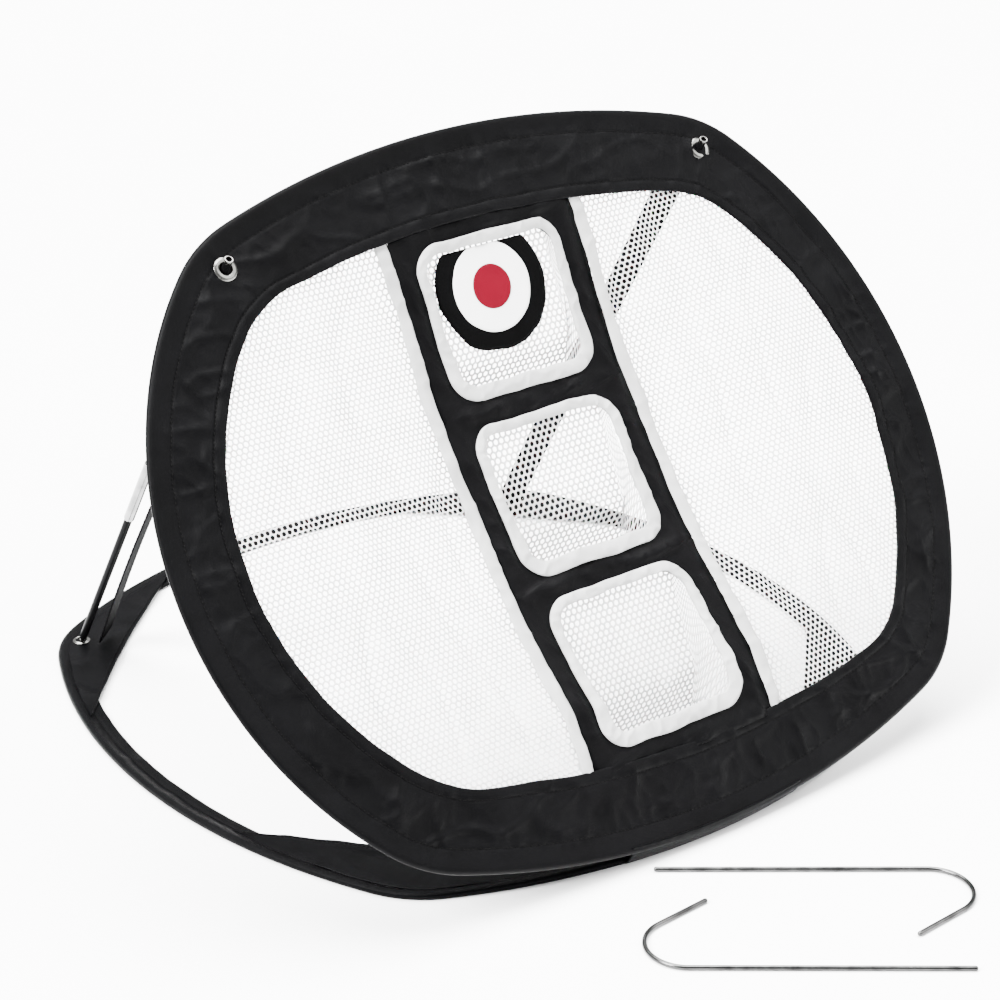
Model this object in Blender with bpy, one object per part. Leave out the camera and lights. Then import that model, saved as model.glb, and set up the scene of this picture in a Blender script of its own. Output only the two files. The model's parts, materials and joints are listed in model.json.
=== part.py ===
"""Golf chipping net: a folding practice target of two sprung hoops, seen from the golfer's side.

The base hoop lies on the ground. The front panel stands on its front edge, leaning back,
and is held up by two poles and two straps behind it. The panel has a fabric border, two side
nets and a centre strip with three net pockets. Two wire pegs lie on the ground in front.

Frame: metres, +Z up, +Y from the golfer towards the back of the net, +X to the golfer's right.
The origin is on the ground, under the middle of the base hoop's front edge.
"""

import math

import bmesh
import bpy
from mathutils import Matrix, Vector

# ---------------------------------------------------------------- driving dimensions

GAP = 0.0003                  # clearance that touching pieces keep

HINGE = Vector((0.0, -0.009, 0.007))  # a point on the front panel's fold axis, along X
PANEL_ANGLE = math.radians(53.4)      # the panel's slope above the ground

# Each outline is four arcs that meet at softened corners, with its widest point on each side.
# The sprung hoops aren't quite even: the panel bellies out further on its left.
FRONT_OUTLINE = {             # front hoop
    "right": (0.3150, 0.264), "left": (-0.3245, 0.258), "top": 0.5235, "bottom": 0.0015,
    "top_right": (0.218, 0.487), "top_left": (-0.219, 0.486),
    "bottom_right": (0.235, 0.043), "bottom_left": (-0.228, 0.047),
}
INNER_OUTLINE = {             # inner edge of the fabric border
    "right": (0.266, 0.262), "left": (-0.269, 0.285), "top": 0.457, "bottom": 0.062,
    "top_right": (0.186, 0.435), "top_left": (-0.188, 0.436),
    "bottom_right": (0.199, 0.082), "bottom_left": (-0.184, 0.090),
}
BASE_OUTLINE = {              # base hoop
    "right": (0.2835, 0.305), "left": (-0.2835, 0.305), "top": 0.583, "bottom": -0.003,
    "top_right": (0.228, 0.5145), "top_left": (-0.228, 0.5145),
    "bottom_right": (0.219, 0.055), "bottom_left": (-0.219, 0.055),
}
CORNER_SOFTENING = 0.026      # the corners are rounded over this distance on each side
NET_GAP = 0.0009              # the border's inner edge is a polygon: nets stay this far inside
BASE_BAND = 0.020             # width of the base hoop's fabric

FABRIC = 0.0012               # thickness of fabric, net and webbing
SLEEVE_WIDTH = 0.0066         # the wire channel along the outline of both hoops
SLEEVE_HALF = 0.0026          # half the channel's thickness
SLEEVE_WALL = 0.0006
WIRE_RADIUS = 0.0012
WIRE_INSET = 0.0034           # from the outline to the middle of the wire
SPLICE_RADIUS = 0.0017        # crimped tube that joins the wire's ends
SPLICE_BORE = 0.0014
SPLICE_STEPS = 2
RING_STEPS = 72               # stations round each hoop

DISH_DEPTH = 0.0205           # the strip and nets hang back this far at the deepest
DISH_MIDDLE = 0.283           # height of the deepest line up the panel
DISH_HALF = 0.175             # from there to where they meet the border's plane
DISH_BANDS = 10               # straight steps in the hanging cloth
DISH_FLAT = 0.092             # out to here across the panel the depth is even
DISH_END = 0.190              # and from here outwards there is none

STRIP_HALF_WIDTH = 0.080      # centre strip
TAPE_WIDTH = 0.009            # white binding along the strip's edges
TAPE_THICK = 0.0008
HINGE_TAPE_LENGTH = 0.150     # binding that joins the two hoops along their front edge

POCKETS = {"upper": 0.3895, "middle": 0.2594, "lower": 0.1305}  # middles, up the panel
POCKET_HALF_WIDTH = 0.062
POCKET_HALF_HEIGHT = 0.0565
POCKET_CORNER = 0.021
TRIM_WIDTH = 0.0095           # puckered binding round each pocket's opening
TRIM_THICK = 0.0030
BAG_LEAN = math.radians(12)   # the net behind a pocket leans back this far from the panel
BAG_TAPER = 0.06              # how much narrower that net is than the opening
BAG_POUCH = 0.012             # how far it hangs below the opening's foot
BAG_SAG = 0.022               # how much further back it hangs at its foot
BAG_SAG_FROM = 0.62           # the sag starts here, as a share of the way down
BAG_LINES = 8                 # lines across the bag, for its curve
BAG_CORNER = 0.012
BAG_INSET = 0.006             # the net starts this far inside the binding's outer edge
BAG_FRONT = -0.0027           # and this far behind the strip

TARGET_DROP = 0.0321          # target's middle, down the upper pocket's net
TARGET_SIDE = -0.0046         # and to the right of the pocket's middle
TARGET_MARGIN = 0.0045        # its layers are cut off this far below the net's top
TARGET_LAYERS = {             # radius and colour
    "backing": (0.0460, "target_black"),
    "ring": (0.0322, "target_white"),
    "centre": (0.0158, "target_red"),
}
TARGET_THICK = 0.0006
TARGET_CLEAR = 0.0022         # from the net's middle to the back of the target

EYELET_SIDE = 0.205           # front eyelets, from the middle
EYELET_HEIGHT = 0.464         # up the panel
FOOT_SIDE = 0.212             # base eyelets
FOOT_DEPTH = 0.5035
EYELET_RADIUS = 0.0085
BASE_EYELET_RADIUS = 0.0068
EYELET_BORE = 0.0043
EYELET_BARREL = 0.0052
EYELET_FLANGE = 0.0009

POLE_RADIUS = 0.0030
POLE_BORE = 0.0013
CORD_RADIUS = 0.0009
FERRULE_RADIUS = 0.0040
FERRULE_BORE = 0.0034
FERRULE_FROM = 0.365          # ferrule's ends, as shares of the pole from the base
FERRULE_TO = 0.52
ROD_INTO_FERRULE = 0.44
FRONT_PIVOT = 0.0068          # from the front eyelet's middle to the end of the pole
BASE_PIVOT = 0.0064           # from the base eyelet's middle to the end of the pole
FOOT_RISE = 0.0036            # height of the base eyelet's middle
TIP_START = 0.0036            # gap between a pole's end and its tip
TIP_PROUD = 0.0110            # how far the pole's tip stands out of the front eyelet
TIP_BORE = 0.0022
PIN_RADIUS = 0.0018
PIN_POINT = 0.7               # the pin's radius at its point, as a share
BASE_TIP_FOOT = 0.0012        # how far the lower tip stays above the ground

STRAP_WIDTH = 0.020
STRAP_INBOARD = 0.016         # straps run beside the poles
STRAP_FORWARD = 0.010
STRAP_STEPS = 8

REAR_GUSSET = 0.658           # straight inner edge of the rear gussets: |x| + y
FRONT_GUSSET = 0.068          # straight inner edge of the front gussets: |x| - y

PEG_RADIUS = 0.00175
PEG_SHANK = 0.183
PEG_BEND = 0.0275             # radius of the hook's bend, to the wire's middle
PEG_TURN = math.radians(139)
PEG_TAIL = 0.044
PEGS = {                      # where each peg's shank starts, and the way that it runs
    "ground_peg_1": ((-0.0642, -0.0142), math.radians(-37.4)),
    "ground_peg_2": ((0.0257, -0.2275), math.radians(142.3)),
}

ROUND = 12                    # sides of round pieces

COLOURS = {
    "black_fabric": ((0.013, 0.013, 0.015), 0.62, 0.0),
    "white_net": ((0.86, 0.86, 0.86), 0.55, 0.0),
    "white_tape": ((0.84, 0.84, 0.83), 0.70, 0.0),
    "black_webbing": ((0.016, 0.016, 0.018), 0.75, 0.0),
    "target_black": ((0.012, 0.012, 0.013), 0.45, 0.0),
    "target_white": ((0.88, 0.88, 0.88), 0.45, 0.0),
    "target_red": ((0.58, 0.012, 0.036), 0.45, 0.0),
    "nickel": ((0.72, 0.72, 0.70), 0.22, 1.0),
    "chrome": ((0.80, 0.80, 0.81), 0.12, 1.0),
    "spring_steel": ((0.42, 0.42, 0.43), 0.35, 1.0),
    "fibreglass": ((0.015, 0.015, 0.016), 0.30, 0.0),
    "elastic": ((0.70, 0.70, 0.68), 0.80, 0.0),
}


# ---------------------------------------------------------------- scene and objects


def clear_scene():
    for thing in list(bpy.data.objects):
        bpy.data.objects.remove(thing, do_unlink=True)


def material(name, slot):
    """One material of its own for each piece."""
    colour, roughness, metallic = COLOURS[slot]
    made = bpy.data.materials.new(name)
    made.use_nodes = True
    shader = made.node_tree.nodes["Principled BSDF"]
    shader.inputs["Base Color"].default_value = (*colour, 1.0)
    shader.inputs["Roughness"].default_value = roughness
    shader.inputs["Metallic"].default_value = metallic
    return made


def empty(name, place, rotation=(0.0, 0.0, 0.0)):
    made = bpy.data.objects.new(name, None)
    made.location = place
    made.rotation_euler = rotation
    bpy.context.collection.objects.link(made)
    return made


def add(name, slot, bm, parent=None, smooth=False):
    """Turn a bmesh into a named object with its own material."""
    bmesh.ops.recalc_face_normals(bm, faces=bm.faces)
    mesh = bpy.data.meshes.new(name)
    bm.to_mesh(mesh)
    bm.free()
    if smooth:
        mesh.shade_smooth()
        mesh.set_sharp_from_angle(angle=math.radians(40))
    mesh.materials.append(material(name, slot))
    made = bpy.data.objects.new(name, mesh)
    bpy.context.collection.objects.link(made)
    made.parent = parent
    return made


def cut(target, name, bm, parent):
    """Cut a hole in a piece. The cutter stays in the file as a guide."""
    cutter = add(name, "nickel", bm, parent)
    cutter.hide_render = True
    cutter.display_type = "WIRE"
    hole = target.modifiers.new(name, "BOOLEAN")
    hole.operation = "DIFFERENCE"
    hole.solver = "EXACT"
    hole.object = cutter


# ---------------------------------------------------------------- outlines


def arc(start, middle, end, steps=240):
    """Points anticlockwise along the circle through three places, without the last."""
    first = Vector(start)
    one = Vector(middle) - first
    two = Vector(end) - first
    centre = first + Vector((
        two.y * one.dot(one) - one.y * two.dot(two),
        one.x * two.dot(two) - two.x * one.dot(one),
    )) / (2 * (one.x * two.y - one.y * two.x))
    radius = (first - centre).length
    begin = math.atan2(first.y - centre.y, first.x - centre.x)
    last = Vector(end) - centre
    sweep = (math.atan2(last.y, last.x) - begin) % (2 * math.pi)
    return [
        centre + radius * Vector((math.cos(turn), math.sin(turn)))
        for turn in (begin + sweep * k / steps for k in range(steps))
    ]


def evenly(points, count):
    """Points at even steps round a closed line, starting at its first point."""
    size = len(points)
    lengths = [0.0]
    for k in range(size):
        lengths.append(lengths[-1] + (points[(k + 1) % size] - points[k]).length)
    found = []
    k = 0
    for n in range(count):
        wanted = lengths[-1] * n / count
        while lengths[k + 1] < wanted:
            k += 1
        share = (wanted - lengths[k]) / (lengths[k + 1] - lengths[k])
        found.append(points[k].lerp(points[(k + 1) % size], share))
    return found


def stations(shape, count=RING_STEPS, inset=0.0):
    """Points round an outline, evenly spaced anticlockwise from its right-hand side.

    Each comes with the direction that points inwards, and is moved inset along it.
    """
    points = (
        arc(shape["bottom_right"], shape["right"], shape["top_right"])
        + arc(shape["top_right"], (0.0, shape["top"]), shape["top_left"])
        + arc(shape["top_left"], shape["left"], shape["bottom_left"])
        + arc(shape["bottom_left"], (0.0, shape["bottom"]), shape["bottom_right"])
    )
    fine = 1440
    points = evenly(points, fine)
    spacing = (points[1] - points[0]).length
    reach = round(CORNER_SOFTENING / spacing)
    soft = []
    for k in range(fine):
        near = [points[(k + m) % fine] for m in range(-reach, reach + 1)]
        soft.append(sum(near, Vector((0.0, 0.0))) / len(near))
    start = max(range(fine), key=lambda k: soft[k].x)
    soft = evenly(soft[start:] + soft[:start], fine)
    found = []
    for n in range(count):
        k = round(n * fine / count) % fine
        along = (soft[(k + 1) % fine] - soft[k - 1]).normalized()
        inward = Vector((-along.y, along.x))
        found.append((soft[k] + inward * inset, inward))
    return found


def edge_at(shape, x, above, inset=0.0):
    """How high an outline is at x, on the side above or below its widest level."""
    level = shape["right"][1]
    half = [p for p, _ in stations(shape, 360, inset) if (p.y > level) == above]
    half.sort(key=lambda p: p.x)
    for a, b in zip(half, half[1:]):
        if a.x <= x <= b.x:
            return a.lerp(b, (x - a.x) / (b.x - a.x)).y
    raise ValueError(f"the outline doesn't reach x = {x}")


def rounded_square(half_width, half_height, middle, corner, steps=5):
    """Corner arcs joined by straight sides, anticlockwise from the right-hand side."""
    points = []
    for quarter, (sx, sy) in enumerate([(1, 1), (-1, 1), (-1, -1), (1, -1)]):
        centre = Vector((sx * (half_width - corner), middle + sy * (half_height - corner)))
        for k in range(steps + 1):
            turn = math.pi / 2 * (quarter + k / steps)
            points.append(centre + corner * Vector((math.cos(turn), math.sin(turn))))
    return points


# ---------------------------------------------------------------- solids


def sweep_ring(sections):
    """Join closed sections round a ring. Each section is a list of 3-D points in order."""
    bm = bmesh.new()
    rows = [[bm.verts.new(p) for p in section] for section in sections]
    size = len(rows[0])
    for k, row in enumerate(rows):
        after = rows[(k + 1) % len(rows)]
        for n in range(size):
            bm.faces.new((row[n], row[(n + 1) % size], after[(n + 1) % size], after[n]))
    return bm


def plate(outline, low, high):
    """A flat piece with the given 2-D outline, from low to high."""
    bm = bmesh.new()
    face = bm.faces.new([bm.verts.new((p[0], p[1], low)) for p in outline])
    grown = bmesh.ops.extrude_face_region(bm, geom=[face])
    moved = [v for v in grown["geom"] if isinstance(v, bmesh.types.BMVert)]
    bmesh.ops.translate(bm, verts=moved, vec=(0.0, 0.0, high - low))
    return bm


def turned(profile, sides=ROUND, start=0.0):
    """A closed (radius, height) profile turned about Z."""
    return sweep_ring([
        [Vector((r * math.cos(a), r * math.sin(a), z)) for r, z in profile]
        for a in (start + 2 * math.pi * k / sides for k in range(sides))
    ])


def spindle(profile, sides=ROUND):
    """A solid turned about Z, from a list of (radius, height), with flat ends."""
    bm = bmesh.new()
    rings = [
        [
            bm.verts.new((r * math.cos(a), r * math.sin(a), z))
            for a in (2 * math.pi * k / sides for k in range(sides))
        ]
        for r, z in profile
    ]
    for ring, after in zip(rings, rings[1:]):
        for k in range(sides):
            m = (k + 1) % sides
            bm.faces.new((ring[k], ring[m], after[m], after[k]))
    bm.faces.new(rings[0])
    bm.faces.new(rings[-1])
    return bm


def rod(radius, low, high, sides=ROUND):
    """A solid round bar along Z."""
    bm = bmesh.new()
    bmesh.ops.create_cone(
        bm, cap_ends=True, segments=sides, radius1=radius, radius2=radius, depth=high - low
    )
    bmesh.ops.translate(bm, verts=bm.verts, vec=(0.0, 0.0, (low + high) / 2))
    return bm


def tube(radius, bore, low, high, sides=ROUND):
    """A round tube along Z."""
    return turned([(radius, low), (radius, high), (bore, high), (bore, low)], sides)


def placed(bm, x, y, z=0.0):
    bmesh.ops.translate(bm, verts=bm.verts, vec=(x, y, z))
    return bm


def ring_bar(outline, inset, height, radius, steps, sides=8):
    """A round bar along part of a hoop. steps are the stations that it passes."""
    track = stations(outline)
    bm = bmesh.new()
    rows = []
    for k in steps:
        point, inward = track[k % RING_STEPS]
        middle = point + inward * inset
        rows.append([
            bm.verts.new((
                middle.x + inward.x * radius * math.cos(a),
                middle.y + inward.y * radius * math.cos(a),
                height + radius * math.sin(a),
            ))
            for a in (2 * math.pi * n / sides for n in range(sides))
        ])
    for row, after in zip(rows, rows[1:]):
        for n in range(sides):
            bm.faces.new((row[n], row[(n + 1) % sides], after[(n + 1) % sides], after[n]))
    bm.faces.new(rows[0])
    bm.faces.new(rows[-1])
    return bm


def ring_tube(outline, inset, height, radius, bore, steps, sides=8):
    """A round tube along part of a hoop, open at both ends."""
    track = stations(outline)
    bm = bmesh.new()
    rows = []
    for k in steps:
        point, inward = track[k % RING_STEPS]
        middle = point + inward * inset
        row = []
        for size in (radius, bore):
            for n in range(sides):
                a = 2 * math.pi * n / sides
                side = inward * size * math.cos(a)
                row.append(bm.verts.new((
                    middle.x + side.x, middle.y + side.y, height + size * math.sin(a)
                )))
        rows.append(row)
    for row, after in zip(rows, rows[1:]):
        for shift in (0, sides):
            for n in range(sides):
                m = (n + 1) % sides
                bm.faces.new((row[shift + n], row[shift + m], after[shift + m], after[shift + n]))
    for row in (rows[0], rows[-1]):
        for n in range(sides):
            m = (n + 1) % sides
            bm.faces.new((row[n], row[m], row[sides + m], row[sides + n]))
    return bm


# ---------------------------------------------------------------- hoops and their fabric


def channel_section(inset_point, edge_point, band_low, band_high, flip):
    """Cross-section of a hoop's fabric: an open channel round the wire, then a flat band.

    inset_point(r) gives the plan position r inside the outline, and edge_point the band's end.
    The channel opens through a slit on the side that flip chooses.
    """
    top = SLEEVE_HALF
    wall = SLEEVE_WALL
    slit = SLEEVE_WIDTH - 2 * wall - 0.0002
    profile = [
        (0.0, -top), (slit, -top), (slit, -top + wall), (2 * wall, -top + wall),
        (2 * wall, top - wall), (SLEEVE_WIDTH - wall, top - wall),
        (SLEEVE_WIDTH - wall, band_low), (None, band_low), (None, band_high),
        (SLEEVE_WIDTH, band_high), (SLEEVE_WIDTH, top), (0.0, top),
    ]
    section = []
    for r, h in profile:
        plan = edge_point if r is None else inset_point(r)
        section.append(Vector((plan.x, plan.y, flip * h)))
    return section


def front_border(parent):
    """The panel's fabric border, from the hoop's channel to the nets."""
    outer = stations(FRONT_OUTLINE)
    inner = stations(INNER_OUTLINE)
    sections = []
    for (point, inward), (edge, _) in zip(outer, inner):
        sections.append(channel_section(
            lambda r, point=point, inward=inward: point + inward * r,
            edge, -FABRIC / 2, FABRIC / 2, 1.0,
        ))
    border = add("front_border", "black_fabric", sweep_ring(sections), parent)
    for side, x in (("left", -EYELET_SIDE), ("right", EYELET_SIDE)):
        hole = placed(rod(EYELET_BARREL + GAP, -0.004, 0.004), x, EYELET_HEIGHT)
        cut(border, f"cutter_front_{side}", hole, parent)


def base_sleeve(parent):
    """The base hoop's fabric, whose channel lies on the ground."""
    sections = []
    low = FABRIC - SLEEVE_HALF
    for point, inward in stations(BASE_OUTLINE):
        sections.append([
            p + Vector((0.0, 0.0, SLEEVE_HALF)) for p in channel_section(
                lambda r, point=point, inward=inward: point + inward * r,
                point + inward * BASE_BAND, -low - FABRIC, -low, -1.0,
            )
        ])
    sleeve = add("base_sleeve", "black_fabric", sweep_ring(sections), parent)
    for side, x in (("left", -FOOT_SIDE), ("right", FOOT_SIDE)):
        hole = placed(rod(EYELET_BARREL + GAP, -0.002, 0.008), x, FOOT_DEPTH)
        cut(sleeve, f"cutter_base_{side}", hole, parent)


def hoop(name, outline, height, parent):
    """The sprung wire of one hoop, and the crimped tube over its ends."""
    start = RING_STEPS // 4 * 3 + SPLICE_STEPS
    wire = ring_bar(
        outline, WIRE_INSET, height, WIRE_RADIUS, range(start, start + RING_STEPS)
    )
    add(f"{name}_hoop_wire", "spring_steel", wire, parent, smooth=True)
    splice = ring_tube(
        outline, WIRE_INSET, height, SPLICE_RADIUS, SPLICE_BORE,
        range(start - SPLICE_STEPS, start + SPLICE_STEPS),
    )
    add(f"{name}_hoop_splice", "spring_steel", splice, parent, smooth=True)


# ---------------------------------------------------------------- nets and centre strip


def dish_station(k):
    """Height up the panel of the k-th line across the hanging cloth, 0 being the deepest."""
    return DISH_MIDDLE + DISH_HALF * 2 * k / DISH_BANDS


def dish(x, v):
    """How far the cloth hangs behind the border's plane: straight between the stations."""
    place = (v - DISH_MIDDLE) / DISH_HALF * DISH_BANDS / 2
    first = math.floor(place)
    low, high = (max(0.0, 1 - (2 * k / DISH_BANDS) ** 2) for k in (first, first + 1))
    share = low + (high - low) * (place - first)
    across = (DISH_END - abs(x)) / (DISH_END - DISH_FLAT)
    return DISH_DEPTH * share * min(max(across, 0.0), 1.0)


def hang(bm, across=()):
    """Let a flat piece hang back with the dish. across lists extra lines, by their x."""
    half = DISH_BANDS // 2
    planes = [((0.0, dish_station(k), 0.0), (0.0, 1.0, 0.0)) for k in range(-half, half + 1)]
    planes += [((x, 0.0, 0.0), (1.0, 0.0, 0.0)) for x in across]
    for place, normal in planes:
        geometry = bm.verts[:] + bm.edges[:] + bm.faces[:]
        bmesh.ops.bisect_plane(bm, geom=geometry, dist=1e-6, plane_co=place, plane_no=normal)
    for vert in bm.verts:
        vert.co.z -= dish(vert.co.x, vert.co.y)
    bmesh.ops.triangulate(bm, faces=bm.faces)
    return bm


def side_net(side, sign, parent):
    """The net between the centre strip and the border."""
    near = STRIP_HALF_WIDTH + GAP
    level = INNER_OUTLINE["right"][1]
    track = [p for p, _ in stations(INNER_OUTLINE, 90, NET_GAP)]
    edge = [p for p in track if sign * p.x > near + 2 * TAPE_THICK]
    edge.sort(key=lambda p: math.atan2(p.y - level, sign * p.x))
    outline = [(sign * near, edge_at(INNER_OUTLINE, sign * near, False, NET_GAP))]
    outline += [(p.x, p.y) for p in edge]
    outline.append((sign * near, edge_at(INNER_OUTLINE, sign * near, True, NET_GAP)))
    lines = [sign * (DISH_FLAT + (DISH_END - DISH_FLAT) * k / 4) for k in range(5)]
    net = hang(plate(outline, -FABRIC / 2, FABRIC / 2), lines)
    add(f"side_net_{side}", "white_net", net, parent)


def centre_strip(parent):
    """The fabric strip that carries the three pockets."""
    steps = 8
    outline = []
    for above in (True, False):
        for k in range(steps + 1):
            x = (1 if above else -1) * STRIP_HALF_WIDTH * (1 - 2 * k / steps)
            outline.append((x, edge_at(INNER_OUTLINE, x, above, NET_GAP)))
    cloth = hang(plate(outline, -FABRIC / 2, FABRIC / 2))
    strip = add("centre_strip", "black_fabric", cloth, parent)
    for name, middle in POCKETS.items():
        opening = rounded_square(
            POCKET_HALF_WIDTH + GAP, POCKET_HALF_HEIGHT + GAP, middle, POCKET_CORNER
        )
        cutter = plate(opening, -DISH_DEPTH - 2 * FABRIC, 2 * FABRIC)
        cut(strip, f"cutter_pocket_{name}", cutter, parent)


def strip_tape(side, sign, parent):
    """White binding over the side net's edge, beside the strip."""
    low = FABRIC / 2 + GAP
    near = STRIP_HALF_WIDTH + GAP
    far = near + TAPE_WIDTH
    foot = edge_at(INNER_OUTLINE, sign * far, False, NET_GAP)
    head = edge_at(INNER_OUTLINE, sign * far, True, NET_GAP)
    outline = [(sign * x, v) for x, v in ((near, foot), (far, foot), (far, head), (near, head))]
    tape = hang(plate(outline, low, low + TAPE_THICK))
    add(f"strip_tape_{side}", "white_tape", tape, parent)


# ---------------------------------------------------------------- pockets and target


def pocket_trim(name, middle, parent):
    """The binding round one pocket's opening."""
    half = TRIM_THICK / 2
    loops = []
    for shrink in (0.0, TRIM_WIDTH):
        loops.append(rounded_square(
            POCKET_HALF_WIDTH - shrink, POCKET_HALF_HEIGHT - shrink, middle,
            POCKET_CORNER - shrink * 0.6,
        ))
    sections = [
        [Vector((o.x, o.y, -half)), Vector((o.x, o.y, half)),
         Vector((i.x, i.y, half)), Vector((i.x, i.y, -half))]
        for o, i in zip(*loops)
    ]
    add(f"pocket_trim_{name}", "white_tape", hang(sweep_ring(sections)), parent)


def down_bag():
    """Down the net behind a pocket, as a direction in the panel's own frame."""
    return Vector((0.0, -math.cos(BAG_LEAN), -math.sin(BAG_LEAN)))


def bag_top(middle):
    """The line where a pocket's net leaves the top of its opening, in the border's plane."""
    return Vector((0.0, middle + POCKET_HALF_HEIGHT - BAG_INSET, BAG_FRONT))


def sag(down):
    """How much further back a pocket's net hangs, this share of the way down it."""
    share = max(0.0, (down - BAG_SAG_FROM) / (1.0 - BAG_SAG_FROM))
    return BAG_SAG * share * share * (3 - 2 * share)


def with_lines(loop, heights):
    """A loop with a point added wherever it crosses one of the dish's lines or the heights."""
    lines = [dish_station(m) for m in range(-DISH_BANDS // 2, DISH_BANDS // 2 + 1)]
    found = []
    for k, p in enumerate(loop):
        after = loop[(k + 1) % len(loop)]
        found.append(p)
        crossed = []
        for height in lines + heights:
            rise = height - p.y
            if 0.0 < rise / (after.y - p.y or math.inf) < 1.0:
                crossed.append(rise / (after.y - p.y))
        found += [p.lerp(after, share) for share in sorted(crossed)]
    return found


def pocket_net(name, middle, parent):
    """The net behind one pocket: it leans back from the opening's top, over a pouch."""
    half_height = POCKET_HALF_HEIGHT - BAG_INSET
    top = bag_top(middle)
    foot = top.y - 2 * half_height
    rise = (1.0 - BAG_SAG_FROM) * 2 * half_height
    heights = [foot + rise * k / BAG_LINES for k in range(1, BAG_LINES)]
    rim = with_lines(rounded_square(
        POCKET_HALF_WIDTH - BAG_INSET, half_height, middle, BAG_CORNER, 3
    ), heights)
    rows = []
    for share in (0.0, 0.5, 0.85, 1.0):
        row = []
        for p in rim:
            down = (top.y - p.y) / (2 * half_height)
            run = down * (2 * half_height + BAG_POUCH)
            back = top + down_bag() * run
            x = p.x * (1.0 - BAG_TAPER * share * share)
            v = p.y + (back.y - p.y) * math.sin(math.pi / 2 * share)
            n = BAG_FRONT + (back.z - sag(down) - BAG_FRONT) * share
            n -= (1 - share) * dish(p.x, p.y) + share * dish(0.0, top.y)
            row.append(Vector((x, v, n)))
        rows.append(row)
    bm = bmesh.new()
    rings = [[bm.verts.new(p) for p in row] for row in rows]
    size = len(rim)
    for ring, after in zip(rings, rings[1:]):
        for k in range(size):
            m = (k + 1) % size
            bm.faces.new((ring[k], ring[m], after[m], after[k]))
    back = sorted(rings[-1], key=lambda vert: -vert.co.y)
    right, left = ([vert for vert in back if sign * vert.co.x > 0] for sign in (1, -1))
    for k in range(len(right) - 1):
        bm.faces.new((right[k], right[k + 1], left[k + 1], left[k]))
    bag = add(f"pocket_net_{name}", "white_net", bm, parent)
    shell = bag.modifiers.new("net_thickness", "SOLIDIFY")
    shell.thickness = FABRIC
    shell.offset = 0.0


def target(parent):
    """Three printed layers on the upper pocket's net, facing the opening, cut off at its top."""
    tilt = Matrix.Rotation(BAG_LEAN, 4, "X")
    top = bag_top(POCKETS["upper"])
    centre = top + down_bag() * TARGET_DROP
    centre.z -= dish(0.0, top.y)
    centre.x += TARGET_SIDE
    sides = 40
    for layer, (name, (radius, slot)) in enumerate(TARGET_LAYERS.items()):
        low = TARGET_CLEAR + layer * (TARGET_THICK + GAP)
        highest = TARGET_DROP - TARGET_MARGIN
        first = math.asin(min(highest / radius, 1.0))
        sweep = 2 * math.pi if first >= math.pi / 2 else math.pi + 2 * first
        count = sides if sweep == 2 * math.pi else sides + 1
        outline = []
        for k in range(count):
            turn = first - sweep * k / sides
            outline.append((radius * math.cos(turn), radius * math.sin(turn)))
        bm = plate(outline, low, low + TARGET_THICK)
        bmesh.ops.transform(bm, matrix=Matrix.Translation(centre) @ tilt, verts=bm.verts)
        add(f"target_{name}", slot, bm, parent)


# ---------------------------------------------------------------- eyelets, poles and straps


def eyelet(name, x, y, low, high, radius, parent):
    """A flanged eyelet through fabric that lies between low and high, and its washer below."""
    top = high + GAP
    bottom = low - GAP
    profile = [
        (EYELET_BORE, bottom - EYELET_FLANGE), (EYELET_BARREL - GAP, bottom - EYELET_FLANGE),
        (EYELET_BARREL - GAP, top), (radius * 0.93, top), (radius, top + 0.0003),
        (radius * 0.86, top + EYELET_FLANGE),
        (EYELET_BORE + 0.0006, top + EYELET_FLANGE), (EYELET_BORE, top + 0.0004),
    ]
    add(f"{name}_eyelet", "nickel", placed(turned(profile, 16), x, y), parent, smooth=True)
    washer = tube(radius, EYELET_BARREL, bottom - EYELET_FLANGE, bottom, 16)
    add(f"{name}_washer", "nickel", placed(washer, x, y), parent, smooth=True)


def panel_point(x, v, n=0.0):
    """World position of a point on the front panel."""
    c, s = math.cos(PANEL_ANGLE), math.sin(PANEL_ANGLE)
    return HINGE + Vector((x, v * c - n * s, v * s + n * c))


def pole_line(sign):
    """(the pole's lower end, its upper end, its direction), between the eyelets' inner faces."""
    foot = Vector((sign * FOOT_SIDE, FOOT_DEPTH, FOOT_RISE))
    head = panel_point(sign * EYELET_SIDE, EYELET_HEIGHT)
    along = (head - foot).normalized()
    lower = foot + along * BASE_PIVOT
    upper = head - along * FRONT_PIVOT
    return lower, upper, along


def axis_empty(name, place, along):
    """An empty whose Z runs along the pole, for the pieces that turn together."""
    made = empty(name, place)
    made.rotation_mode = "QUATERNION"
    made.rotation_quaternion = along.to_track_quat("Z", "Y")
    return made


def pole(side, sign):
    """One pole: two rod sections with elastic cord inside, and the ferrule on the lower one."""
    lower, upper, along = pole_line(sign)
    length = (upper - lower).length
    foot = axis_empty(f"pole_{side}_lower_pivot", lower, along)
    head = axis_empty(f"pole_{side}_upper_pivot", upper, along)
    ferrule_low = FERRULE_FROM * length
    ferrule_high = FERRULE_TO * length
    rod_end = ROD_INTO_FERRULE * length
    add(f"pole_{side}_lower", "fibreglass",
        tube(POLE_RADIUS, POLE_BORE, 0.0, rod_end), foot, smooth=True)
    add(f"pole_{side}_ferrule", "chrome",
        tube(FERRULE_RADIUS, FERRULE_BORE, ferrule_low, ferrule_high), foot, smooth=True)
    add(f"pole_{side}_cord_lower", "elastic",
        rod(CORD_RADIUS, 0.004, ferrule_high - 0.002, 8), foot, smooth=True)
    start = ferrule_high + 2 * GAP - length
    add(f"pole_{side}_upper", "fibreglass",
        tube(POLE_RADIUS, POLE_BORE, start, 0.0), head, smooth=True)
    add(f"pole_{side}_cord_upper", "elastic",
        rod(CORD_RADIUS, start + 0.001, -0.004, 8), head, smooth=True)


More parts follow.
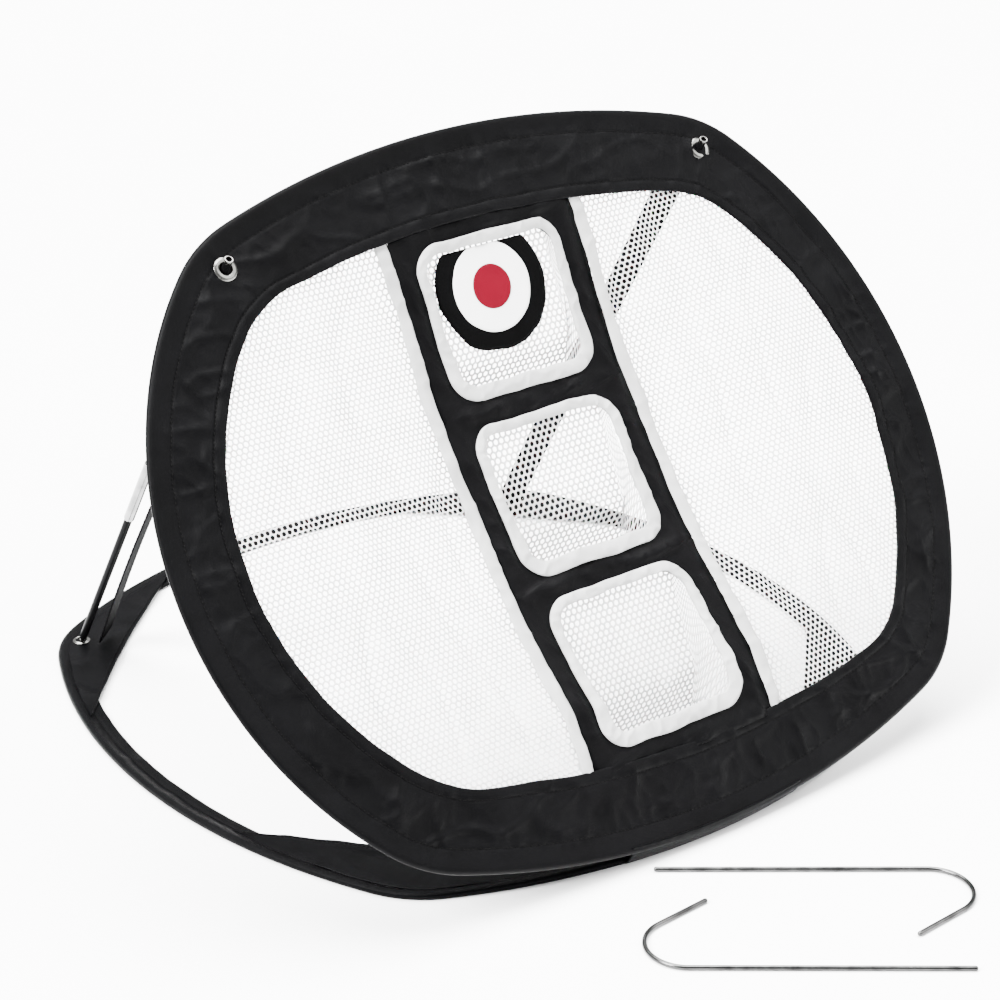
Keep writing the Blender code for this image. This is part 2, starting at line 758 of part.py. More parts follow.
def pole_tips(side, sign):
    """The tips that stay in the eyelets: a tube in the front one, a thin pin in the base one."""
    lower, upper, along = pole_line(sign)
    top = axis_empty(f"tip_front_{side}_line", upper, along)
    start = TIP_START
    reach = FRONT_PIVOT + TIP_PROUD
    rim = reach - 0.0040
    radius = POLE_RADIUS - 0.0001
    profile = [
        (radius - 0.0005, start), (radius, start + 0.0012), (radius, reach),
        (TIP_BORE, reach), (TIP_BORE, rim),
    ]
    add(f"pole_tip_front_{side}", "nickel", spindle(profile), top, smooth=True)
    bottom = axis_empty(f"tip_base_{side}_line", lower, along)
    point = PIN_RADIUS * PIN_POINT
    depth = (lower.z - BASE_TIP_FOOT) / along.z - point
    profile = [(point, -depth), (PIN_RADIUS, -depth + 0.001), (PIN_RADIUS, -start)]
    add(f"pole_tip_base_{side}", "nickel", spindle(profile), bottom, smooth=True)


def strap(side, sign):
    """Webbing beside the pole, from behind the border to the rear gusset."""
    low = Vector((sign * (FOOT_SIDE - STRAP_INBOARD), FOOT_DEPTH - STRAP_FORWARD, 0.0085))
    high = panel_point(
        sign * (EYELET_SIDE - STRAP_INBOARD), EYELET_HEIGHT - 0.004, -0.0045
    )
    along = (high - low).normalized()
    wide_low = Vector((0.83, sign * -0.47, 0.31 * -sign))
    wide_high = Vector((0.86, sign * -0.42, 0.30 * -sign))
    sections = []
    for k in range(STRAP_STEPS + 1):
        share = k / STRAP_STEPS
        wide = wide_low.lerp(wide_high, share)
        wide = (wide - along * wide.dot(along)).normalized()
        thick = along.cross(wide) * FABRIC / 2
        wide = wide * STRAP_WIDTH / 2
        middle = low.lerp(high, share)
        sections.append([
            middle - wide - thick, middle + wide - thick,
            middle + wide + thick, middle - wide + thick,
        ])
    bm = bmesh.new()
    rows = [[bm.verts.new(p) for p in section] for section in sections]
    for row, after in zip(rows, rows[1:]):
        for n in range(4):
            m = (n + 1) % 4
            bm.faces.new((row[n], row[m], after[m], after[n]))
    bm.faces.new(rows[0])
    bm.faces.new(rows[-1])
    add(f"strap_{side}", "black_webbing", bm)


# ---------------------------------------------------------------- base details and pegs


def gusset(name, straight, sign, parent):
    """A fabric corner on the base: the hoop's curve on one side, a straight edge on the other.

    straight(point) is positive on the corner's side of the straight edge.
    """
    low = 2 * FABRIC + GAP
    inside = SLEEVE_WIDTH + GAP + 0.0006
    track = [
        point + inward * inside for point, inward in stations(BASE_OUTLINE, 360)
    ]
    arc = [p for p in track if straight(p) > 0 and p.x * sign > 0]
    arc.sort(key=lambda p: abs(p.x))
    outline = arc[::4] + [arc[-1]]
    return add(name, "black_fabric", plate(outline, low, low + FABRIC), parent)


def peg(name, start, direction, parent):
    """A wire peg lying flat: a straight shank, a bend to the right and a short tail."""
    points = [Vector((0.0, 0.0)), Vector((PEG_SHANK * 0.5, 0.0))]
    steps = 12
    for k in range(steps + 1):
        turn = PEG_TURN * k / steps
        points.append(Vector((
            PEG_SHANK + PEG_BEND * math.sin(turn),
            -PEG_BEND * (1 - math.cos(turn)),
        )))
    out = Vector((math.cos(PEG_TURN), -math.sin(PEG_TURN)))
    points.append(points[-1] + out * PEG_TAIL)
    line = bpy.data.curves.new(name, "CURVE")
    line.dimensions = "3D"
    line.bevel_depth = PEG_RADIUS
    line.bevel_resolution = 2
    line.use_fill_caps = True
    line.render_resolution_u = 0
    spline = line.splines.new("POLY")
    spline.points.add(len(points) - 1)
    for slot, p in zip(spline.points, points):
        slot.co = (p.x, p.y, 0.0, 1.0)
    line.materials.append(material(name, "chrome"))
    made = bpy.data.objects.new(name, line)
    bpy.context.collection.objects.link(made)
    made.parent = parent
    made.location = (start[0], start[1], PEG_RADIUS)
    made.rotation_euler = (0.0, 0.0, direction)


def hinge_tape(parent):
    """The binding that joins the hoops, on the ground in front of the base hoop."""
    half = HINGE_TAPE_LENGTH / 2
    front = BASE_OUTLINE["bottom"]
    outline = [
        (-half, front - 0.0042), (half, front - 0.0042), (half, front - GAP),
        (-half, front - GAP),
    ]
    add("hinge_tape", "black_fabric", plate(outline, 0.0004, 0.0022), parent)


# ---------------------------------------------------------------- assembly


def build():
    clear_scene()
    base = empty("base_frame", (0.0, 0.0, 0.0))
    panel = empty("front_frame", HINGE, (PANEL_ANGLE, 0.0, 0.0))

    hoop("front", FRONT_OUTLINE, 0.0, panel)
    front_border(panel)
    centre_strip(panel)
    for name, middle in POCKETS.items():
        pocket_trim(name, middle, panel)
        pocket_net(name, middle, panel)
    target(panel)

    hoop("base", BASE_OUTLINE, SLEEVE_HALF, base)
    base_sleeve(base)
    hinge_tape(base)

    for side, sign in (("left", -1), ("right", 1)):
        side_net(side, sign, panel)
        strip_tape(side, sign, panel)
        half = FABRIC / 2
        eyelet(
            f"front_{side}", sign * EYELET_SIDE, EYELET_HEIGHT, -half, half,
            EYELET_RADIUS, panel,
        )
        low = FABRIC
        high = 3 * FABRIC + GAP
        eyelet(
            f"base_{side}", sign * FOOT_SIDE, FOOT_DEPTH, low, high, BASE_EYELET_RADIUS, base
        )
        pole(side, sign)
        pole_tips(side, sign)
        strap(side, sign)
        rear = gusset(
            f"rear_gusset_{side}", lambda p: abs(p.x) + p.y - REAR_GUSSET, sign, base
        )
        hole = placed(rod(EYELET_BARREL + GAP, 0.001, 0.006), sign * FOOT_SIDE, FOOT_DEPTH)
        cut(rear, f"cutter_gusset_{side}", hole, base)
        gusset(f"front_gusset_{side}", lambda p: abs(p.x) - p.y - FRONT_GUSSET, sign, base)

    for name, (start, direction) in PEGS.items():
        peg(name, start, direction, base)


build()
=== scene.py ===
"""The looks of the golf chipping net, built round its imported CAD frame.

Metres, +Z up. The panel's own coordinates are (x, v, n): across, up the panel, and out of its
front face. Fabric, nets and binding are made here and ride on the frame's bodies.
"""

import json
import math

import bmesh
import bpy
import numpy as np
from mathutils import Matrix, Vector, noise


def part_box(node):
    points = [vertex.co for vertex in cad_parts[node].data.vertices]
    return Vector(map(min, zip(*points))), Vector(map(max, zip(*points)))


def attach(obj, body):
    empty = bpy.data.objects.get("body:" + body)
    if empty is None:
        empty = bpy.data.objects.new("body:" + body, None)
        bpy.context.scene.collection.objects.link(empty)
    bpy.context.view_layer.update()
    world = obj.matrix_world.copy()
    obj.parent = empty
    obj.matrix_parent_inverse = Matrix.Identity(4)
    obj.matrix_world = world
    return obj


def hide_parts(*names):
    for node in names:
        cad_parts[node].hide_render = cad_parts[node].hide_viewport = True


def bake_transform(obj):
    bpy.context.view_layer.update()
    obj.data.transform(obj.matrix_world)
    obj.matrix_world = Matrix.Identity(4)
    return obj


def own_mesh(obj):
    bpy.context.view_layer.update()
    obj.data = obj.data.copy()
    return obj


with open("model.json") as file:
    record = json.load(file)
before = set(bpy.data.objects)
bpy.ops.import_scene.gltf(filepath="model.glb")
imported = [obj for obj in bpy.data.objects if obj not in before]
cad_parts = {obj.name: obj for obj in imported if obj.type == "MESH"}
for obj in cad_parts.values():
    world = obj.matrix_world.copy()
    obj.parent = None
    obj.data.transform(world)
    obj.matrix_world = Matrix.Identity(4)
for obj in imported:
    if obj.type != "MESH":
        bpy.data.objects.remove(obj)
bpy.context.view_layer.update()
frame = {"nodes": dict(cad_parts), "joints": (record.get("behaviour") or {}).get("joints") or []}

MM = 0.001

# ---------------------------------------------------------------- places, from the frame

FOLD = next(j for j in frame["joints"] if j["name"] == "front_fold")
HINGE = np.array(FOLD["pos_m"])
PANEL_ANGLE = math.radians(53.4)
ACROSS = np.array([1.0, 0.0, 0.0])
UP_PANEL = np.array([0.0, math.cos(PANEL_ANGLE), math.sin(PANEL_ANGLE)])
OUT = np.array([0.0, -math.sin(PANEL_ANGLE), math.cos(PANEL_ANGLE)])

# Each outline is four arcs that meet at softened corners, with its widest point on each side.
FRONT = {
    "right": (0.3150, 0.264), "left": (-0.3245, 0.258), "top": 0.5235, "bottom": 0.0015,
    "top_right": (0.218, 0.487), "top_left": (-0.219, 0.486),
    "bottom_right": (0.235, 0.043), "bottom_left": (-0.228, 0.047),
}
INNER = {
    "right": (0.266, 0.262), "left": (-0.269, 0.285), "top": 0.457, "bottom": 0.062,
    "top_right": (0.186, 0.435), "top_left": (-0.188, 0.436),
    "bottom_right": (0.199, 0.082), "bottom_left": (-0.184, 0.090),
}
BASE = {
    "right": (0.2835, 0.305), "left": (-0.2835, 0.305), "top": 0.583, "bottom": -0.003,
    "top_right": (0.228, 0.5145), "top_left": (-0.228, 0.5145),
    "bottom_right": (0.219, 0.055), "bottom_left": (-0.219, 0.055),
}
CORNER_SOFTENING = 0.026
DISH_DEPTH, DISH_MIDDLE, DISH_HALF = 0.0205, 0.283, 0.175
DISH_FLAT, DISH_END = 0.092, 0.190
STRIP_HALF, STRIP_THICK = 0.080, 0.8 * MM
POCKETS = {"upper": 0.3895, "middle": 0.2594, "lower": 0.1305}
POCKET_HALF = (0.062, 0.0565)
POCKET_CORNER = 0.021
EYELET = (0.205, 0.464)
FOOT = (0.212, 0.5035)
SIDES = (("left", -1), ("right", 1))
REAR_GUSSET, FRONT_GUSSET = 0.658, 0.068   # straight edges: |x| + y and |x| - y

POLE_RADIUS, POLE_BORE = 3.0 * MM, 1.3 * MM
FERRULE_RADIUS = 4.0 * MM
FERRULE_FROM, FERRULE_TO, ROD_END = 0.365, 0.52, 0.44   # shares of the pole, from its foot
CORD_RADIUS = 0.9 * MM
CORE, FINE_CORE = 0.3 * MM, 0.2 * MM       # holes left down the middle of turned pieces

STRAP_INBOARD, STRAP_FORWARD = 16 * MM, 10 * MM         # from the eyelets to the strap
STRAP_FOOT, STRAP_HEAD = 8.5 * MM, -4.5 * MM            # above the ground, behind the panel
STRAP_HALF = 9.9 * MM

PEG_RADIUS, PEG_SHANK, PEG_BEND = 1.75 * MM, 0.183, 0.0275
PEG_TURN, PEG_TAIL = math.radians(139), 0.044
PEGS = {                                   # where each shank starts, and the way that it runs
    "ground_peg_1": ((-0.0642, -0.0142), math.radians(-37.4)),
    "ground_peg_2": ((0.0257, -0.2275), math.radians(142.3)),
}


# ---------------------------------------------------------------- numbers and outlines


def smooth(start, end, value):
    t = np.clip((value - start) / (end - start), 0.0, 1.0)
    return t * t * (3 - 2 * t)


def turns(count):
    """Even angles round a circle."""
    return np.linspace(0, 2 * np.pi, count, endpoint=False)


def bumps(points, size, seed, octaves=2):
    """Smooth noise, about -1 to 1, with features of the given size."""
    shift = Vector((seed * 7.13, seed * 3.71, seed * 1.97))
    return np.array([
        noise.fractal(Vector(p) / size + shift, 1.0, 2.1, octaves) for p in points.tolist()
    ])


def creases(points, size, seed):
    """Sharp-backed folds, 0 to 1, with flat cloth between them."""
    return np.clip(1.0 - 3.2 * np.abs(bumps(points, size, seed, 1)), 0.0, 1.0) ** 1.5


def flat3(plan):
    return np.column_stack([plan, np.zeros(len(plan))])


def evenly(points, count, closed=True):
    """Points at even steps along a line, and the unit direction at each."""
    line = np.vstack([points, points[:1]]) if closed else points
    run = np.concatenate([[0], np.cumsum(np.linalg.norm(np.diff(line, axis=0), axis=1))])
    at = np.linspace(0, run[-1], count, endpoint=not closed)
    found = np.column_stack([np.interp(at, run, line[:, k]) for k in range(line.shape[1])])
    if closed:
        along = np.roll(found, -1, 0) - np.roll(found, 1, 0)
    else:
        along = np.gradient(found, axis=0)
    return found, along / np.linalg.norm(along, axis=1, keepdims=True)


def arc(start, middle, end, steps=240):
    """Points anticlockwise along the circle through three places, without the last."""
    start, middle, end = (np.array(k, float) for k in (start, middle, end))
    one, two = middle - start, end - start
    centre = start + np.array([
        two[1] * one.dot(one) - one[1] * two.dot(two),
        one[0] * two.dot(two) - two[0] * one.dot(one),
    ]) / (2 * (one[0] * two[1] - one[1] * two[0]))
    begin, last = (math.atan2(*(k - centre)[::-1]) for k in (start, end))
    turn = begin + (last - begin) % (2 * math.pi) * np.arange(steps) / steps
    radius = np.linalg.norm(start - centre)
    return centre + radius * np.column_stack([np.cos(turn), np.sin(turn)])


def hoop_track(shape, count):
    """Points round an outline, from its right-hand side, and the inward direction at each."""
    points = np.vstack([
        arc(shape["bottom_right"], shape["right"], shape["top_right"]),
        arc(shape["top_right"], (0.0, shape["top"]), shape["top_left"]),
        arc(shape["top_left"], shape["left"], shape["bottom_left"]),
        arc(shape["bottom_left"], (0.0, shape["bottom"]), shape["bottom_right"]),
    ])
    points, _ = evenly(points, 1440)
    span = round(CORNER_SOFTENING / np.linalg.norm(points[1] - points[0]))
    soft = np.mean([np.roll(points, k, 0) for k in range(-span, span + 1)], 0)
    soft = np.roll(soft, -int(np.argmax(soft[:, 0])), 0)
    points, along = evenly(soft, count)
    return points, np.column_stack([-along[:, 1], along[:, 0]])


def edge_at(shape, x, above):
    """How high an outline is at each x, above or below its widest level."""
    points, _ = hoop_track(shape, 1440)
    half = points[(points[:, 1] > shape["right"][1]) == above]
    half = half[np.argsort(half[:, 0])]
    return np.interp(x, half[:, 0], half[:, 1])


def past_hem(plan):
    """How far points of the panel are outside the border's inner edge, above or below."""
    x, v = plan[:, 0], plan[:, 1]
    return np.maximum(v - edge_at(INNER, x, True), edge_at(INNER, x, False) - v)


def dish(x, v):
    """How far the strip and nets hang behind the border's plane."""
    deep = np.clip(1 - ((v - DISH_MIDDLE) / DISH_HALF) ** 2, 0, 1)
    return DISH_DEPTH * deep * np.clip((DISH_END - np.abs(x)) / (DISH_END - DISH_FLAT), 0, 1)


def rounded_square(half_width, half_height, middle, count):
    """Even points round a pocket's opening, anticlockwise from +X."""
    points = []
    for quarter, (sx, sy) in enumerate([(1, 1), (-1, 1), (-1, -1), (1, -1)]):
        turn = np.pi / 2 * (quarter + np.linspace(0, 1, 24))
        points.append(np.column_stack([
            sx * (half_width - POCKET_CORNER) + POCKET_CORNER * np.cos(turn),
            middle + sy * (half_height - POCKET_CORNER) + POCKET_CORNER * np.sin(turn),
        ]))
    return evenly(np.vstack(points), count)[0]


def panel(x, v, n=0.0):
    """World places of points on the front panel."""
    x, v, n = np.broadcast_arrays(*(np.asarray(k, float) for k in (x, v, n)))
    return HINGE + x[..., None] * ACROSS + v[..., None] * UP_PANEL + n[..., None] * OUT


def hung(x, v, n=0.0):
    """World places of points on the cloth that hangs inside the border."""
    return panel(x, v, n - dish(np.asarray(x), np.asarray(v)))


# ---------------------------------------------------------------- meshes


def mesh_piece(name, points, faces, material, body, replaces=(), slot=None):
    """A piece that rides on a body and stands in for the frame's nodes that it replaces."""
    mesh = bpy.data.meshes.new(name)
    mesh.from_pydata(np.asarray(points).tolist(), [], faces)
    bm = bmesh.new()
    bm.from_mesh(mesh)
    bmesh.ops.recalc_face_normals(bm, faces=bm.faces)
    bm.to_mesh(mesh)
    bm.free()
    mesh.shade_smooth()
    mesh.materials.append(material)
    piece = bpy.data.objects.new(name, mesh)
    bpy.context.collection.objects.link(piece)
    if body:
        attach(piece, body)
    if replaces:
        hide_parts(*replaces)
    return piece


def thicken(piece, thickness):
    """Give a sheet its thickness, half of it on each side."""
    shell = piece.modifiers.new("thickness", "SOLIDIFY")
    shell.thickness = thickness
    shell.offset = 0.0
    graph = bpy.context.evaluated_depsgraph_get()
    mesh = bpy.data.meshes.new_from_object(piece.evaluated_get(graph))
    piece.modifiers.clear()
    piece.data = mesh


def grid_faces(rows, columns, wrap_rows=False, wrap_columns=False):
    """Quads of a grid of points stored row by row."""
    faces = []
    for i in range(rows if wrap_rows else rows - 1):
        for j in range(columns if wrap_columns else columns - 1):
            k, m = (i + 1) % rows, (j + 1) % columns
            faces.append((i * columns + j, i * columns + m, k * columns + m, k * columns + j))
    return faces


def sheet_grid(name, points, thickness, *place):
    """A thin sheet through a (rows, columns, 3) grid of points."""
    rows, columns = points.shape[:2]
    piece = mesh_piece(name, points.reshape(-1, 3), grid_faces(rows, columns), *place)
    thicken(piece, thickness)
    return piece


def rings_round(along, sides):
    """A unit circle of points across each direction."""
    helper = np.where(np.abs(along[:, 2:]) < 0.9, [[0.0, 0.0, 1.0]], [[1.0, 0.0, 0.0]])
    one = np.cross(along, helper)
    one /= np.linalg.norm(one, axis=1, keepdims=True)
    two = np.cross(along, one)
    turn = turns(sides)[None, :, None]
    return np.cos(turn) * one[:, None] + np.sin(turn) * two[:, None]


def tube(name, line, radii, sides, *place):
    """A round bar along a line, with closed ends."""
    along = np.gradient(line, axis=0)
    along /= np.linalg.norm(along, axis=1, keepdims=True)
    rings = line[:, None] + rings_round(along, sides) * radii[:, None, None]
    faces = grid_faces(len(line), sides, wrap_columns=True)
    last = (len(line) - 1) * sides
    faces += [tuple(range(sides)), tuple(last + k for k in range(sides))]
    piece = mesh_piece(name, rings.reshape(-1, 3), faces, *place)
    piece.data.set_sharp_from_angle(angle=math.radians(45))


def turned(name, profile, origin, axis, *place, sides=64):
    """A closed (radius, height) profile turned about an axis."""
    axis = np.asarray(axis, float) / np.linalg.norm(axis)
    ring = rings_round(axis[None], sides)[0]
    profile = np.asarray(profile)
    points = ring[:, None] * profile[None, :, :1] + axis * profile[None, :, 1:]
    points += np.asarray(origin)
    faces = grid_faces(sides, len(profile), True, True)
    piece = mesh_piece(name, points.reshape(-1, 3), faces, *place)
    piece.data.set_sharp_from_angle(angle=math.radians(50))


def rounded_profile(corners, radius, steps=4):
    """A closed profile with its corners rounded."""
    corners = [np.array(c, float) for c in corners]
    points = []
    for k, corner in enumerate(corners):
        before, after = corners[k - 1], corners[(k + 1) % len(corners)]
        a, b = before - corner, after - corner
        cut = min(radius, 0.45 * np.linalg.norm(a), 0.45 * np.linalg.norm(b))
        start = corner + a / np.linalg.norm(a) * cut
        end = corner + b / np.linalg.norm(b) * cut
        for t in np.linspace(0, 1, steps):
            points.append((1 - t) ** 2 * start + 2 * t * (1 - t) * corner + t ** 2 * end)
    return points


STITCH_PITCH, STITCH_LENGTH, STITCH_THICK = 3.0 * MM, 2.1 * MM, 0.28 * MM
STITCH_SIDES = 5


def stitches(name, line, outward, body, pitch=STITCH_PITCH):
    """A row of separate thread stitches lying on a line, proud of the cloth."""
    run = np.linalg.norm(np.diff(line, axis=0), axis=1).sum()
    count = max(2, int(run / pitch))
    middles, along = evenly(line, count, closed=False)
    out = np.tile(np.asarray(outward, float), (count, 1))
    side = np.cross(along, out)
    points, faces = [], []
    for k in range(count):
        first = len(points)
        half = along[k] * STITCH_LENGTH / 2
        points += [middles[k] - half, middles[k] + half]
        for share in (-0.45, 0.45):
            centre = middles[k] + along[k] * STITCH_LENGTH * share + out[k] * STITCH_THICK * 0.6
            for turn in range(STITCH_SIDES):
                a = 2 * math.pi * turn / STITCH_SIDES
                points.append(
                    centre + (out[k] * math.cos(a) + side[k] * math.sin(a)) * STITCH_THICK
                )
        one, two = first + 2, first + 2 + STITCH_SIDES
        for turn in range(STITCH_SIDES):
            m = (turn + 1) % STITCH_SIDES
            faces.append((first, one + turn, one + m))
            faces.append((first + 1, two + m, two + turn))
            faces.append((one + turn, two + turn, two + m, one + m))
    mesh_piece(name, points, faces, STITCH, body)


# ---------------------------------------------------------------- materials


class Look:
    """A material in the making, with coordinates fixed to the piece, in metres."""

    def __init__(self, name, colour, roughness, metallic=0.0, tilt=0.0, **sockets):
        self.made = bpy.data.materials.new(name)
        self.made.use_nodes = True
        self.links = self.made.node_tree.links
        self.shader = self.made.node_tree.nodes["Principled BSDF"]
        self.shader.inputs["Base Color"].default_value = (*colour, 1.0)
        self.shader.inputs["Roughness"].default_value = roughness
        self.shader.inputs["Metallic"].default_value = metallic
        for socket, value in sockets.items():
            self.shader.inputs[socket.replace("_", " ")].default_value = value
        where = self.node("TexCoord")
        turn = self.node("Mapping", Rotation=(tilt, 0.0, 0.0))
        self.links.new(where.outputs["Object"], turn.inputs["Vector"])
        self.place = turn.outputs["Vector"]

    def node(self, kind, **values):
        """A new node. Values are its sockets' or its own settings."""
        made = self.made.node_tree.nodes.new("ShaderNode" + kind)
        for key, value in values.items():
            socket = key.replace("_", " ")
            if socket in made.inputs:
                made.inputs[socket].default_value = value
            else:
                setattr(made, key, value)
        return made

    def bands(self, direction, pitch):
        """Ribs across one direction."""
        wave = self.node(
            "TexWave", wave_type="BANDS", bands_direction=direction,
            Scale=2 * math.pi / (20 * pitch), Distortion=0.6, Detail=1.0,
        )
        self.links.new(self.place, wave.inputs["Vector"])
        return wave.outputs["Fac"]

    def mottle(self, size, detail=3.0):
        """Cloudy noise with features of the given size."""
        cloud = self.node("TexNoise", Scale=1.0 / size, Detail=detail)
        self.links.new(self.place, cloud.inputs["Vector"])
        return cloud.outputs["Fac"]

    def join(self, operation, one, two):
        """Two values put together. Each is a number or a socket."""
        made = self.node("Math", operation=operation)
        for k, value in enumerate((one, two)):
            if isinstance(value, float):
                made.inputs[k].default_value = value
            else:
                self.links.new(value, made.inputs[k])
        return made.outputs[0]

    def vary_colour(self, fac, dark, light):
        ramp = self.node("ValToRGB")
        for element, position, colour in zip(ramp.color_ramp.elements, (0.3, 0.7), (dark, light)):
            element.position = position
            element.color = (*colour, 1.0)
        self.links.new(fac, ramp.inputs["Fac"])
        self.links.new(ramp.outputs["Color"], self.shader.inputs["Base Color"])

    def vary_roughness(self, fac, least, most):
        spread = self.node("MapRange", To_Min=least, To_Max=most)
        self.links.new(fac, spread.inputs["Value"])
        self.links.new(spread.outputs["Result"], self.shader.inputs["Roughness"])

    def bump(self, height, distance):
        relief = self.node("Bump", Distance=distance, Strength=1.0)
        self.links.new(height, relief.inputs["Height"])
        self.links.new(relief.outputs["Normal"], self.shader.inputs["Normal"])


def woven(name, dark, light, pitch, relief, roughness, tilt=0.0, gloss=0.3, across="X"):
    """Plain-woven cloth: over-and-under threads, with slubs and painted shade between threads."""
    look = Look(
        name, light, roughness, tilt=tilt, Sheen_Roughness=0.45, Specular_IOR_Level=gloss
    )
    warp = look.bands(across, pitch)
    weft = look.bands("Y", pitch)
    threads = look.join("MAXIMUM", warp, weft)
    slubs = look.mottle(pitch * 6)
    height = look.join("ADD", threads, look.join("MULTIPLY", slubs, 0.5))
    # Colour: a cloudy random tone, plus painted shade that darkens the hollows between the
    # threads and lightens their crowns.
    cloud = look.mottle(0.035)
    tone_and_thread_shade = look.join(
        "ADD", look.join("MULTIPLY", cloud, 0.75), look.join("MULTIPLY", threads, 0.25)
    )
    look.vary_colour(tone_and_thread_shade, dark, light)
    look.vary_roughness(cloud, roughness - 0.08, roughness + 0.10)
    look.bump(height, relief)
    return look.made


def yarn(name, dark, light, roughness, tilt=0.0):
    """Knitted net: fine filaments along the strands, faintly translucent."""
    look = Look(
        name, light, roughness, tilt=tilt, Sheen_Weight=0.15, Subsurface_Weight=0.12,
        Subsurface_Scale=0.001,
    )
    fine = look.mottle(0.5 * MM, 2.0)
    look.vary_colour(look.mottle(20 * MM), dark, light)
    look.vary_roughness(fine, roughness - 0.1, roughness + 0.1)
    look.bump(fine, 0.08 * MM)
    return look.made


def metal(name, dark, light, roughness, brushed):
    """Plated or drawn metal, with fine drawing marks and cloudy handling."""
    look = Look(name, light, roughness, 1.0)
    marks = look.mottle(1.2 * MM, 4.0)
    look.vary_colour(look.mottle(12 * MM), dark, light)
    look.vary_roughness(marks, roughness - 0.05, roughness + 0.12)
    look.bump(marks, brushed)
    return look.made


def rod_finish(name, colour, light, roughness):
    """Pultruded fibreglass: a dark, glossy skin with faint fibres showing."""
    look = Look(name, colour, roughness, Specular_IOR_Level=0.010)
    fibres = look.mottle(0.7 * MM)
    look.vary_colour(fibres, colour, light)
    look.vary_roughness(fibres, roughness - 0.06, roughness + 0.10)
    look.bump(fibres, 0.03 * MM)
    return look.made


def grey(value):
    return value, value, value


# The black cloth's darker and lighter ends: woven() mixes them by a random tone and by painted
# shade between the threads.
BLACK = (0.0002, 0.0002, 0.0003)
BLACK_LIT = (0.0010, 0.0010, 0.0012)

PANEL_CLOTH = woven(
    "panel_cloth", BLACK, BLACK_LIT, 0.55 * MM, 0.07 * MM, 0.33, -PANEL_ANGLE, gloss=0.028
)
BASE_CLOTH = woven("base_cloth", BLACK, BLACK_LIT, 0.55 * MM, 0.07 * MM, 0.33, gloss=0.022)
STITCH = woven(
    "black_thread", grey(0.0016), grey(0.003), 0.2 * MM, 0.03 * MM, 0.6, gloss=0.02
)
WEBBING = woven(
    "black_webbing", (0.0010, 0.0010, 0.0011), (0.0026, 0.0026, 0.0028), 1.3 * MM, 0.22 * MM,
    0.62, gloss=0.005, across="Z",
)
NET = yarn("white_net", grey(0.44), grey(0.60), 0.55, -PANEL_ANGLE)
TAPE = woven(
    "white_binding", (0.26, 0.26, 0.257), (0.40, 0.40, 0.396), 0.7 * MM, 0.12 * MM, 0.65,
    -PANEL_ANGLE,
)
PRINT_BLACK = woven(
    "print_black", grey(0.0004), (0.0010, 0.0010, 0.0011), 0.4 * MM, 0.04 * MM, 0.42,
    gloss=0.015,
)
PRINT_WHITE = woven("print_white", grey(0.80), grey(0.88), 0.4 * MM, 0.04 * MM, 0.45)
PRINT_RED = woven(
    "print_red", (0.074, 0.0, 0.0050), (0.088, 0.0, 0.0062), 0.4 * MM, 0.04 * MM, 0.42,
    gloss=0.04,
)
NICKEL = metal("nickel_plate", (0.08, 0.08, 0.075), (0.22, 0.22, 0.21), 0.20, 0.02 * MM)
CHROME = metal("chrome_plate", grey(0.12), grey(0.28), 0.14, 0.01 * MM)
SPRING_STEEL = metal("drawn_steel", grey(0.10), grey(0.20), 0.36, 0.03 * MM)
PEG_STEEL = metal("peg_steel", grey(0.016), grey(0.070), 0.16, 0.01 * MM)
FIBREGLASS = rod_finish("fibreglass", (0.0010, 0.0010, 0.0011), (0.0022, 0.0022, 0.0024), 0.28)
ELASTIC = woven("elastic", (0.50, 0.50, 0.49), (0.72, 0.72, 0.70), 0.5 * MM, 0.08 * MM, 0.8)


# ---------------------------------------------------------------- black fabric

CORNERS = ("top_right", "top_left", "bottom_right", "bottom_left")
SEAM_LINES = [(FRONT[corner], INNER[corner]) for corner in CORNERS]  # diagonal joins


def seam_relief(plan):
    """A pressed groove along each diagonal join, with the lapped cloth beside it."""
    relief = np.zeros(len(plan))
    for outer, inner in SEAM_LINES:
        a, b = np.array(outer), np.array(inner)
        along = (b - a) / np.linalg.norm(b - a)
        side = np.array([-along[1], along[0]])
        off = (plan - a) @ side
        run = (plan - a) @ along
        here = smooth(-0.03, -0.02, run) * (1 - smooth(0.12, 0.14, run))
        lapped = smooth(0, 0.4 * MM, off) * (1 - smooth(6 * MM, 7 * MM, off))
        relief += here * (0.35 * MM * lapped)
        relief -= here * 0.5 * MM * np.exp(-(off / (0.6 * MM)) ** 2)
    return relief


def cloth_relief(plan, seed, strength=1.0):
    """Height of the border's and strip's cloth over its flat lie: broad waves and creases."""
    flat = flat3(plan)
    slant = flat * [1.0, 0.45, 1.0]
    relief = 1.5 * MM * bumps(flat, 0.060, seed) + 1.6 * MM * creases(slant, 0.050, seed + 1)
    relief += 1.4 * MM * creases(flat * [0.6, 1.3, 1.0], 0.026, seed + 2)
    relief += 0.8 * MM * creases(flat * [1.2, 0.7, 1.0], 0.015, seed + 4)
    relief += 0.25 * MM * bumps(flat, 0.008, seed + 3)
    return strength * relief


SLEEVE = 17 * MM                          # from the outline to the wire channel's seam
HEM = 9 * MM                              # turned-in edge next to the nets
EDGE_STEPS = np.array([0, 0.35, 0.9, 1.8, 3.2, 5.0, 7.5, 10.0, 12.5, 14.6, 16.2, 17.0, 17.8]) * MM
EDGE_HALF = np.array([
    0, 1.05, 1.75, 2.35, 2.60, 2.45, 2.05, 1.60, 1.20, 0.90, 0.62, 0.30, 0.62,
]) * MM                                   # half the border's thickness at each step
HEM_STEPS = ((0.02, 0.40), (0.10, 0.95), (0.45, 1.0), (0.8, 0.95), (0.96, 0.8), (1.0, 0.35))
FLAT_HALF = 0.55 * MM
BORDER_PITCH = 3.2 * MM


